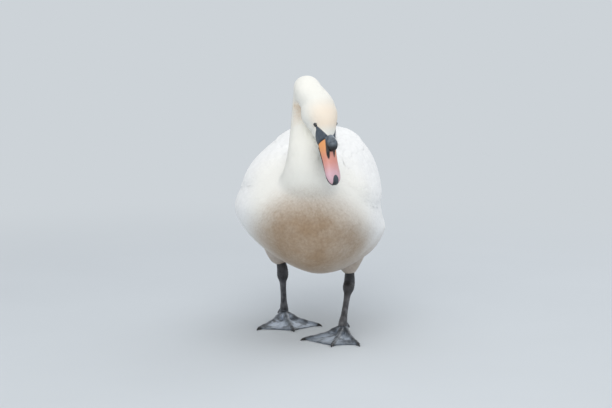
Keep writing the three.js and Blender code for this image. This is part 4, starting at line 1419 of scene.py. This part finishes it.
KNOB_VOXEL, KNOB_ROUNDS = 0.0008, 120  # metres, and rounds of smoothing
KNOB = [  # forward, side, up; radii along, across, up
    ((49.0, 0.0, 21.0), (16.0, 11.3, 12.3)),
    ((42.0, 0.0, 16.0), (17.0, 12.0, 11.0)),
    ((34.0, 0.0, 12.5), (14.0, 13.5, 7.5)),
]
knob = joined_tubes("knob_of_black_skin", [head_points(ellipsoid(*ball)) for ball in KNOB], face_hide)
remesh(knob, KNOB_VOXEL)
relax(knob, np.ones(len(knob.data.vertices)), KNOB_ROUNDS)
forward, side, up = head_sizes(stance_of(knob))
# Painted shade: the knob darkens towards its front and underside.
set_marks(knob.data, dict(dark=ramp(forward - 0.6 * up, 27, 45)))
knob.data.shade_smooth()
fit(knob, "face_skin", "bill_knob")

# %% [markdown]
# An eye is a wet ball with a clear bulge over its iris. Rings of colour follow the mark gaze, which
# is how closely each point faces the way of the look. A rim of black lid sets it into the face.

# %% Eyes
LID_OUT, LID_LONG, LID_HIGH, LID_WIDE, LID_DEEP = 2.0, 5.3, 4.6, 0.75, 0.7  # mm, seen from the side
iris, tree, shader = material("eye_dark_brown_cornea", Roughness=0.04, Coat_Weight=1.0,
                              Coat_Roughness=0.02)
ringed = node(tree, "ValToRGB", mark(tree, "gaze"))
stops = ((0.0, "#0B0908"), (0.60, "#1D120B"), (0.66, "#3A2414"), (0.80, "#2B1A0E"), (0.86, "#040404"))
while len(ringed.color_ramp.elements) < len(stops):
    ringed.color_ramp.elements.new(0.5)
for element, (place, colour) in zip(ringed.color_ramp.elements, stops):
    element.position = place
    element.color = linear(colour)
feed(tree, shader.inputs["Base Color"], ringed.outputs["Color"])
lids = []
for name, direction in (("left", 1), ("right", -1)):
    ball = ellipsoid(rings=60)
    look = unit(np.array([0.22, direction, 0.22]))
    gaze = ball @ look
    round_ball = ball * EYE_RADIUS * (1 + 0.035 * ramp(gaze, 0.72, 0.95))[..., None]
    centre = np.array([0, direction * EYE_SIDE, EYE_UP])
    horn_piece(f"eyeball_{name}", round_ball + centre, iris,
               dict(gaze=gaze * 0.5 + 0.5 * (gaze > 0)), "eye", f"eye_{name}")
    # The lids are a ring round the look, a little longer than high.
    turn = around(72)
    aside = unit(np.cross(look, [0.0, 0, 1]))
    upright = np.cross(aside, look)
    rim_at = (centre + look * LID_OUT + aside * (np.cos(turn) * LID_LONG)[:, None]
              + upright * (np.sin(turn) * LID_HIGH)[:, None])
    out = unit(aside * np.cos(turn)[:, None] + upright * np.sin(turn)[:, None])
    section = around(14)
    ring = (rim_at[:, None] + out[:, None] * (LID_WIDE * np.cos(section))[None, :, None]
            + look * (LID_DEEP * np.sin(section))[None, :, None])
    lids.append(head_points(ring)[:, ::direction])
n, m = lids[0].shape[:2]
r, c = np.arange(n)[:, None], np.arange(m)[None]
r2, c2 = (r + 1) % n, (c + 1) % m
torus = together(r * m + c, r * m + c2, r2 * m + c2, r2 * m + c).reshape(-1, 4)
fit(put_mesh("eyelids_of_black_skin", to_frame(np.concatenate([lid.reshape(-1, 3) for lid in lids])),
             [torus, torus + n * m], face_hide), "face_skin")

# %% [markdown]
# A folded wing is a stack of long quills. Each feather is drawn in the wing's own two numbers, the
# way back along the body and the share of the way from its lower to its upper edge, so that it bends
# with the wing.

# %% Feathers on a wing
def wing_grid(side, rng, y_root, v_root, steps, across, blunt, length, v_tip, half, low, top, camber,
              tilt):
    """Leaves on a wing in stance coordinates, with their distance along and half widths.

    Roots and sizes hold one value per feather: low and top are the heights of root and tip. Tilt
    raises the lower edge, so that each feather lies over the one below it. Towards the front the
    feathers sink into the body with the skin, and near the wing's edges they lie lower.
    """
    t = stations(steps)
    y = y_root[:, None] + length[:, None] * t
    v = v_root[:, None] + (v_tip - v_root)[:, None] * t
    from_edge, to_edge = wing_edges(y)
    angle = from_edge + (to_edge - from_edge) * v
    y_in = np.clip(y, WING_FRONT + 2, WING_REAR - 2)
    reach = norm(wing_surface(side, y_in, angle + 0.05) - wing_surface(side, y_in, angle - 0.05)) / 0.1
    widths = half[:, None] * vane_shape(steps, blunt)[None]
    w = np.linspace(-1, 1, across)[None, None] * (1 + 0.06 * rng.uniform(-1, 1, (*y.shape, across)))
    rise = low[:, None] + (top - low)[:, None] * t ** 0.8
    inset = np.minimum.reduce([y - WING_FRONT, (angle - from_edge) * reach, (to_edge - angle) * reach])
    thin = 1 - 0.45 * fade(inset, 8, 50) * fade(y, 70, 170)
    rise = (rise + WING_COAT) * thin - WING_COAT
    lifted = (rise[..., None] + camber[:, None, None] * (1 - w ** 2)
              - (tilt[:, None] * widths)[..., None] * w)
    turned = angle[..., None] + (widths / np.maximum(reach, 30))[..., None] * w
    body = wing_surface(side, np.repeat(y_in[..., None], across, -1), turned, lifted)
    body[..., 1] += (y - y_in)[..., None]
    grid = body_to_stance(body if side < 0 else body[:, :, ::-1])
    flesh = body_to_stance(wing_surface(side, y_in, angle, -WING_COAT))
    settled, _ = settle(flesh.reshape(-1, 3))
    sunk = (settled.reshape(flesh.shape) - flesh) * fade(y, 70, 170)[..., None]
    grid += sunk[:, :, None]
    return grid, run_along(grid[:, :, across // 2]), widths


def wing_rows(rows, rng):
    """Roots for a band of small feathers: rows of (y, v from, v to, count), in staggered order."""
    y, v = [], []
    for n, (at, v_from, v_to, count) in enumerate(rows):
        share = (np.arange(count) + 0.5 * (n % 2) + rng.normal(0, 0.2, count)) / count
        v.append(v_from + (v_to - v_from) * share)
        y.append(at + rng.normal(0, 0.22, count) * (rows[1][0] - rows[0][0]))
    return np.concatenate(y), np.concatenate(v)

# %% [markdown]
# From front to back come the small coverts, three rows of larger ones, the secondaries, and under
# them the primaries, whose tips reach furthest. Scapulars and tertials cover the top.

# %% Folded wings
def wing_coat(name, side):
    """All feathers of one wing, in bands from the small coverts to the quills."""
    rng = np.random.default_rng(30 + side)
    bands = []

    def band(y, v, steps, across=7, blunt=2.0, **sizes):
        """Adds feathers from roots (y, v). Each size is one number for all, or one per feather."""
        each = {key: value * np.ones(len(y)) for key, value in sizes.items()}
        grid, along, widths = wing_grid(side, rng, y, v, steps, across, blunt, **each)
        uv = 0.02 + 0.96 * together(np.clip(v, 0, 1.1) / 1.1, wing_share(y))
        bands.append((grid, along, widths, uv))

    # Small coverts, finer towards the wrist.
    gaps = np.linspace(6.5, 13, 28)
    starts = WING_FRONT + 6 + np.cumsum(gaps) - gaps[0]
    rows = []
    for at, gap in zip(starts, gaps):
        low, high = wing_edges(at + 12)
        rows.append((at, 0.02, 1.0, max(4, int(150 * (high - low) / gap))))
    y, v = wing_rows(rows, rng)
    pitch = np.interp(y, starts, gaps)
    band(y, v, 6, 5, length=pitch * 3.6, v_tip=v + rng.normal(0, 0.03, len(v)), half=pitch * 0.85,
         low=-4.6, top=-0.6, camber=0.4, tilt=0.06)
    # Median and greater coverts.
    y, v = wing_rows([(62.0, 0.02, 0.95, 15), (78.0, 0.02, 0.95, 14)], rng)
    band(y, v, 8, length=66 + rng.normal(0, 3, len(v)), v_tip=v * 0.98, half=12, low=-4.4, top=-0.9,
         camber=0.8, tilt=0.08)
    v = np.linspace(0.03, 0.78, 15) + rng.normal(0, 0.008, 15)
    band(np.full(15, 92.0), v, 12, length=112 + rng.normal(0, 4, 15) - 20 * v, v_tip=v * 0.97,
         half=12.5, low=-4.8, top=-1.6, camber=1.0, tilt=0.14)
    # Primaries, then secondaries over them, then tertials.
    order = np.linspace(0, 1, 13)
    band(np.full(13, 170.0), 0.05 + 0.33 * order, 22, blunt=1.6, length=238 + 56 * order ** 1.2,
         v_tip=0.14 + 0.50 * order, half=11, low=-6.6, top=-5.2 - 0.2 * order[::-1], camber=0.9,
         tilt=0.10)
    order = np.linspace(0, 1, 14)
    band(np.full(14, 118.0), 0.04 + 0.62 * order, 18, 9,
         length=128 + 118 * order - 26 * order ** 2 + rng.normal(0, 3, 14), v_tip=0.02 + 0.62 * order,
         half=14, low=-5.6, top=-3.4, camber=1.1, tilt=0.12)
    order = np.linspace(0, 1, 7)
    band(100 + 10 * order, 0.60 + 0.34 * order, 20, 9, blunt=2.2,
         length=205 + 70 * order - 40 * order ** 2, v_tip=0.56 + 0.34 * order, half=19, low=-3.4,
         top=-1.4, camber=1.6, tilt=0.10)
    # Scapulars along the upper edge.
    y = np.concatenate([np.arange(-150, 150, 15.0)] * 3) + np.repeat([0.0, 5.0, 10.0], 20)
    v = np.repeat([0.78, 0.88, 0.97], 20) + rng.normal(0, 0.012, 60)
    grow = ramp(y, -150, 120)
    band(y, v, 9, length=46 + 62 * grow + rng.normal(0, 3, 60), v_tip=v - 0.05 * grow,
         half=12 + 5 * grow, low=-3.0, top=0.6, camber=0.9, tilt=0.07)
    feather_piece(f"coat_wing_{name}", bands)


for name, side in (("left", 1), ("right", -1)):
    wing_coat(name, side)

# %% [markdown]
# The tail is a short wedge of stiff feathers, the middle pair longest and uppermost. Coverts hide
# their roots above and below.

# %% Tail
TAIL_PAIRS = 11
TAIL_COVERTS = (  # side, middle height, drop to the root, fall to the sides, half width, and rows of
    # y from, y to, width, height over the middle, number of feathers
    (1, 350, 4, 26, 11,
     ((300, 455, 34, 4, 11), (285, 425, 42, 7, 13), (268, 392, 46, 9, 15), (250, 360, 44, 11, 15))),
    (-1, 348, 5, 22, 12,
     ((296, 470, 30, 3, 9), (280, 430, 40, 6, 13), (262, 385, 46, 9, 15), (244, 345, 44, 13, 15))),
)


def tail_fan(x_root, y_root, x_tip, y_tip, z_root, z_tip, half, steps, camber, sag, under=False):
    """Straight leaves of the tail from their roots to their tips, in body coordinates."""
    t = stations(steps)[None, :, None]
    root = together(x_root, y_root, z_root)[:, None]
    tip = together(x_tip, y_tip, z_tip)[:, None]
    line = root + (tip - root) * t
    line[..., 2] += sag * np.sin(np.pi * t[..., 0])
    ahead = unit(np.gradient(line, axis=1))
    up = np.array([0.0, 0.0, -1.0 if under else 1.0])
    aside = unit(np.cross(up, ahead))
    lean = np.arctan(line[..., 0] / 120)[..., None] * (-1 if under else 1)
    aside = unit(aside + up * np.sin(lean) * np.sign(aside[..., :1]) * 0.5)
    normal = unit(np.cross(ahead, aside))
    widths = np.full((len(line), 1), half) * vane_shape(steps, 1.9)[None]
    grid = leaf_grid(line, aside, normal, widths, np.full(widths.shape, camber), 7)
    share = (line[:, 0, 0] + 60) / 120
    uv = together(0.02 + 0.96 * np.clip(share, 0, 1), 0.1 + 0.8 * (not under))
    return body_to_stance(grid), run_along(line), widths, uv


rng = np.random.default_rng(50)
u = np.linspace(-1, 1, 2 * TAIL_PAIRS)
bands = [tail_fan(18 * u, 300, 55 * u, 514 - 100 * np.abs(u) ** 1.3, 348 - 3 * np.abs(u),
                  352.5 - 4.5 * np.abs(u), 15, 18, 1.2, 1.5)]
for up, middle, drop, fall, half, rows in TAIL_COVERTS:
    for y_from, y_to, width, height, count in rows:
        u = np.linspace(-1, 1, count)
        y_tip = y_to - fall * np.abs(u) + rng.normal(0, 3, count)
        z_tip = middle + up * (height - 5 * u ** 2)
        bands.append(tail_fan(0.6 * width * u, y_from, width * u, y_tip, z_tip - drop, z_tip, half, 10,
                              1.0, 2.5 * up, up < 0))
feather_piece("coat_tail", bands)

# %% [markdown]
# Legs and feet are bare. The shank is cased in rows of small six-sided scales, the toes carry broad
# cross plates on top, and the web between them is thin skin in fine folds. Scales are real relief:
# every point is moved in or out by how near it lies to the middle of its cell.

# %% Legs
HINGE = dict(top=10.5, height=27.0, knuckle_up=10.8, knuckle=13.0)  # radii and heights in mm
LEG_STATIONS = [  # share from ankle to knuckle, half width, half depth
    (-0.08, 12.6, 12.5), (0.1, 12.8, 12.5), (0.26, 8, 10), (0.5, 6.8, 9), (0.78, 7.2, 9),
    (0.92, 8.8, 10), (1.05, 10, 10.5),
]
SCALE_PITCH = 4.2  # mm


def hex_relief(along, around_mm, pitch):
    """1 in the middle of six-sided cells and 0 in the grooves between them."""
    best = np.full(np.shape(along), 1e9)
    rows = np.round(along / (pitch * 0.866))
    for dr in (-1, 0, 1):
        row = rows + dr
        offset = np.where(row % 2 == 0, 0, pitch / 2)
        column = np.round((around_mm - offset) / pitch)
        for dc in (-1, 0, 1):
            away = np.hypot(along - row * pitch * 0.866, around_mm - (column + dc) * pitch - offset)
            best = np.minimum(best, away)
    return fade(best, 0.30 * pitch, 0.56 * pitch)


def shank(leg):
    """The bare leg as a relief tube in stance coordinates."""
    ankle, foot = leg["ankle"], leg["foot"] + [0, 0, HINGE["height"]]
    hem = np.array(leg["thigh"][-1], float)
    rows = [(*(hem + [0, 0, 2]), HINGE["top"], HINGE["top"])]
    rows += [(*(ankle + (foot - ankle) * share), half, deep) for share, half, deep in LEG_STATIONS]
    rows.append((*(foot - [0, 0, 10]), 10.5, 10.5))
    steps, sides = 190, 96
    grid = tube_points(rows, steps, sides)
    centre = grid.mean(1, keepdims=True)
    out = unit(grid - centre)
    run = run_along(grid[None, :, 0])[0]
    girth = norm(grid - np.roll(grid, 1, 1)).sum(1)
    columns = np.maximum(8, np.round(girth.mean() / SCALE_PITCH))
    turn = np.arange(sides)[None] / sides * columns * SCALE_PITCH
    relief = hex_relief(run[:, None], turn, SCALE_PITCH)
    bulge = np.sin(run[:, None] * 0.9 + 2 * np.sin(turn / 9)) * 0.25
    knob = np.exp(-((grid[..., 2] - ankle[2]) / 9) ** 2)
    return grid + out * (0.55 * relief - 0.3 + bulge * knob)[..., None]


leg_hide = bare_hide("leg_skin_brown_black", ("#3A393C", "#68686C"), 0.5, 0.9, 0.5)
for name, leg in LEGS.items():
    made = joined_tubes(f"shank_{name}", [shank(leg)], leg_hide)
    over_joint = stance_of(made)[:, 2] - leg["ankle"][2]
    set_marks(made.data, dict(dark=0.62 * ramp(over_joint, -34, -12)))
    fit(made, "leg_skin", f"leg_{name}")

# %% [markdown]
# A foot is the knuckle, three toes and two webs, melted into one surface by a voxel remesh. The web
# hangs between the toes: it is highest at the knuckle and its front edge curves in.

# %% Toes and webs
TOES = dict(outer=132, middle=138, inner=112)
TOE_STATIONS = [(-0.03, 16, 8), (0.16, 12, 8), (0.4, 5.8, 6.3), (0.7, 3.4, 5.2), (1, 2.8, 4.3)]
CLAW_STATIONS = [(-2.0, 3.4, 3.2), (2.5, 3.6, 3.0), (6.5, 3.2, 2.3), (10, 2.2, 1.5), (12.6, 1.2, 0.6)]
HIND_STATIONS = [(2, 28, 5.2), (8, 26, 4.4), (15, 21, 4), (21, 16, 3.3), (25, 13, 2.4)]
HIND_TOE_TURN = 25  # degrees that the hind toe points inwards
WEB_EDGE, WEB_UNDER, WEB_RISE = 3.0, 0.8, 18  # heights in mm: front edge, underside, at the knuckle
WEB_SCALLOP = 0.06  # how far the front edge curves in, as a share


def toe_way(leg, toe):
    """Direction of a toe on the floor."""
    angle = math.radians(leg["heading"] + leg["side"] * leg["spread"][toe])
    return np.array([math.sin(angle), -math.cos(angle), 0.0])


def out_from(foot, way, rows, reach=0.0):
    """Stations (x, y, z, radius, radius) from rows of distance along a way, height and radius."""
    return [(*(foot + way * (reach + far) + [0, 0, height]), radius, radius)
            for far, height, radius in rows]


def toe_joints(share, length):
    """Swelling of a toe at its joints, in mm."""
    return sum(0.8 * np.exp(-((share - at) * length / 6) ** 2) for at in (0.36, 0.64, 0.86))


def toe_tube(leg, toe):
    """One toe from the knuckle to the claw, flat below."""
    length, way = TOES[toe], toe_way(leg, toe)
    rows = [(share * length, height, radius) for share, height, radius in TOE_STATIONS]
    grid = tube_points(out_from(leg["foot"], way, rows), 90, 32)
    centre = grid.mean(1, keepdims=True)
    share = np.linspace(0, 1, 90)[:, None, None]
    grid = grid + unit(grid - centre) * toe_joints(share, length)
    grid[..., 2] = np.maximum(grid[..., 2], 0)
    return grid


def web_tube(leg, first, second):
    """The web between two toes as rings round its thickness, from one toe to the other."""
    v = np.linspace(0, 1, 60)[:, None]
    share = np.linspace(0.06, 1, 60)[None]
    bow = np.sin(np.pi * v)
    one, two = toe_way(leg, first), toe_way(leg, second)
    a, b = np.arctan2(one[1], one[0]), np.arctan2(two[1], two[0])
    b = a + (b - a + np.pi) % (2 * np.pi) - np.pi
    angle = a + (b - a) * v
    edge = (TOES[first] + (TOES[second] - TOES[first]) * v) * (0.97 - WEB_SCALLOP * bow)
    r = edge * share
    fold = 0.5 * np.sin(v * 25 + 3 * share) * ramp(share, 0.15, 0.5)
    top = WEB_EDGE + WEB_RISE * (1 - share) ** 2 * (1 - 0.45 * bow) + fold * bow
    x, y = leg["foot"][0] + np.cos(angle) * r, leg["foot"][1] + np.sin(angle) * r
    ring = np.concatenate([together(x, y, top), together(x, y, WEB_UNDER)[:, ::-1]], 1)
    return ring if (b - a) < 0 else ring[::-1]

# %% [markdown]
# Relief is laid on after the remesh, which would wipe it out: plates on the toes and small cells on
# the web. The skin is blue-grey and darker on the toes, and the webs carry pale patches of painted
# wet sheen.

# %% Relief and skin of the feet
PLATE_PITCH, WEB_PITCH = 4.6, 3.0  # mm from plate to plate, and from cell to cell


def foot_relief(places, leg):
    """Height of the relief in mm, 1 on the toes and 0 on the webs, and the share of painted wet sheen."""
    away = places - leg["foot"]
    plates, on_toe, from_toe = np.zeros(len(places)), np.zeros(len(places)), np.full(len(places), 1e3)
    for toe, length in TOES.items():
        way = toe_way(leg, toe)
        along = away @ way
        aside = np.abs(away @ np.array([-way[1], way[0], 0]))
        shares, _, radii = zip(*TOE_STATIONS)
        radius = np.interp(along / length, shares, radii)
        near = fade(aside, 0.75 * radius, 1.15 * radius) * (along > 4) * (along < length + 4)
        phase = (along / PLATE_PITCH) % 1
        plates = np.maximum(plates, near * (1 - 0.95 * ramp(np.abs(phase - 0.5), 0.34, 0.5)))
        on_toe = np.maximum(on_toe, near)
        from_toe = np.minimum(from_toe, np.where(along > 0, aside, np.hypot(along, aside)))
    x, y = away[:, 0], away[:, 1]
    grain = hex_relief(x + 0.4 * np.sin(y), y + 0.4 * np.sin(x), WEB_PITCH)
    relief = on_toe * (0.6 * plates - 0.3) + (1 - on_toe) * (0.22 * grain - 0.1)
    out = norm(away[:, :2])
    # Painted sheen: pale patches in the middle of each web, away from the toes.
    pale = (0.3 + 0.7 * ramp(from_toe, 2, 10)) * ramp(out, 8, 26) * fade(out, 96, 132)
    return relief * ramp(places[:, 2], 0.6, 2.0), on_toe, pale


def foot_material():
    """Blue-grey web skin, darker toes, and pale patches of painted wet sheen on the upper side of the
    foot.
    """
    made, tree, shader = material("web_skin_blue_grey", Roughness=0.42, Coat_Weight=0.3,
                                  Coat_Roughness=0.3)
    cloud = noise(tree, 38.0, 4.0, 0.6)
    colour = mixed(tree, between(tree, cloud, 0.36, 0.68), "#333B45", "#6B7786")
    # Dust and painted sheen: pale flecks over the webs.
    dust_and_sheen = between(tree, noise(tree, 75.0, 5.0), 0.56, 0.72, 0.0, 0.55)
    colour = mixed(tree, dust_and_sheen, colour, "#8D97A4")
    colour = mixed(tree, mark(tree, "toe"), colour, "#2C3138")
    # Painted sheen: pale blue patches of wet shine on the webs.
    painted_sheen = maths(tree, "MULTIPLY", mark(tree, "pale"), between(tree, cloud, 0.38, 0.54, 0.12, 0.95))
    colour = mixed(tree, painted_sheen, colour, "#C4D0E0")
    dress(tree, shader, colour, cells(tree, 900.0), 0.5, 0.0003)
    return made

# %% [markdown]
# Both feet are made by the same steps. Claws are horn, blacker and glossier than the skin, and the
# hind toe is a small tube high on the knuckle, so these stay pieces of their own.

# %% Feet
FOOT_VOXEL, FOOT_ROUNDS = 0.0011, 4  # metres, and rounds of smoothing
# How strong the painted sheen is on each foot.
SHEEN_STRENGTH = dict(left=0.62, right=1.0)  # the rear foot is the paler one
web_hide = foot_material()
claw_horn = bare_hide("claw_horn_black", ("#131315", "#2A2928"), 0.35, 4.0, 0.1)
for name, leg in LEGS.items():
    foot = leg["foot"]
    knuckle = ellipsoid(rings=30, sides=40) * HINGE["knuckle"] + foot
    knuckle[..., 2] = np.maximum(knuckle[..., 2] + HINGE["knuckle_up"], 0)
    root_of_foot = out_from(foot, np.zeros(3), ((0, 30, 9.6), (0, 20, 10.8), (0, 8, 12.5)))
    neck_of_foot = tube_points(root_of_foot, 12, 40)
    tubes = [knuckle, neck_of_foot] + [toe_tube(leg, toe) for toe in TOES]
    tubes += [web_tube(leg, "outer", "middle"), web_tube(leg, "middle", "inner")]
    webbed = joined_tubes(f"webbed_foot_{name}", tubes, web_hide)
    remesh(webbed, FOOT_VOXEL)
    relax(webbed, np.full(len(webbed.data.vertices), 0.5), FOOT_ROUNDS)
    places = stance_of(webbed)
    relief, on_toe, pale = foot_relief(places, leg)
    moved = places + points_of(webbed, "normal") * relief[:, None]
    moved[:, 2] = np.maximum(moved[:, 2], 0)
    webbed.data.vertices.foreach_set("co", to_frame(moved).astype(np.float32).ravel())
    dark = np.maximum(on_toe, fade(norm(places - foot), 16, 30))
    set_marks(webbed.data, dict(toe=dark, pale=pale * SHEEN_STRENGTH[name]))
    webbed.data.shade_smooth()
    fit(webbed, "leg_skin", f"foot_{name}")
    print("    lowest point in mm:", moved[:, 2].min())
    for toe, length in TOES.items():
        claw = tube_points(out_from(foot, toe_way(leg, toe), CLAW_STATIONS, length), 30, 28, flat_at=0.2)
        fit(joined_tubes(f"claw_{toe}_{name}_horn", [claw], claw_horn), "claw_horn", f"claw_{toe}_{name}")
    angle = math.radians(leg["heading"] - leg["side"] * HIND_TOE_TURN)
    back = np.array([-math.sin(angle), math.cos(angle), 0.0])
    hind_toe = tube_points(out_from(foot, back, HIND_STATIONS), 40, 32)
    fit(joined_tubes(f"hind_toe_{name}_skin", [hind_toe], leg_hide), "leg_skin", f"hind_toe_{name}")
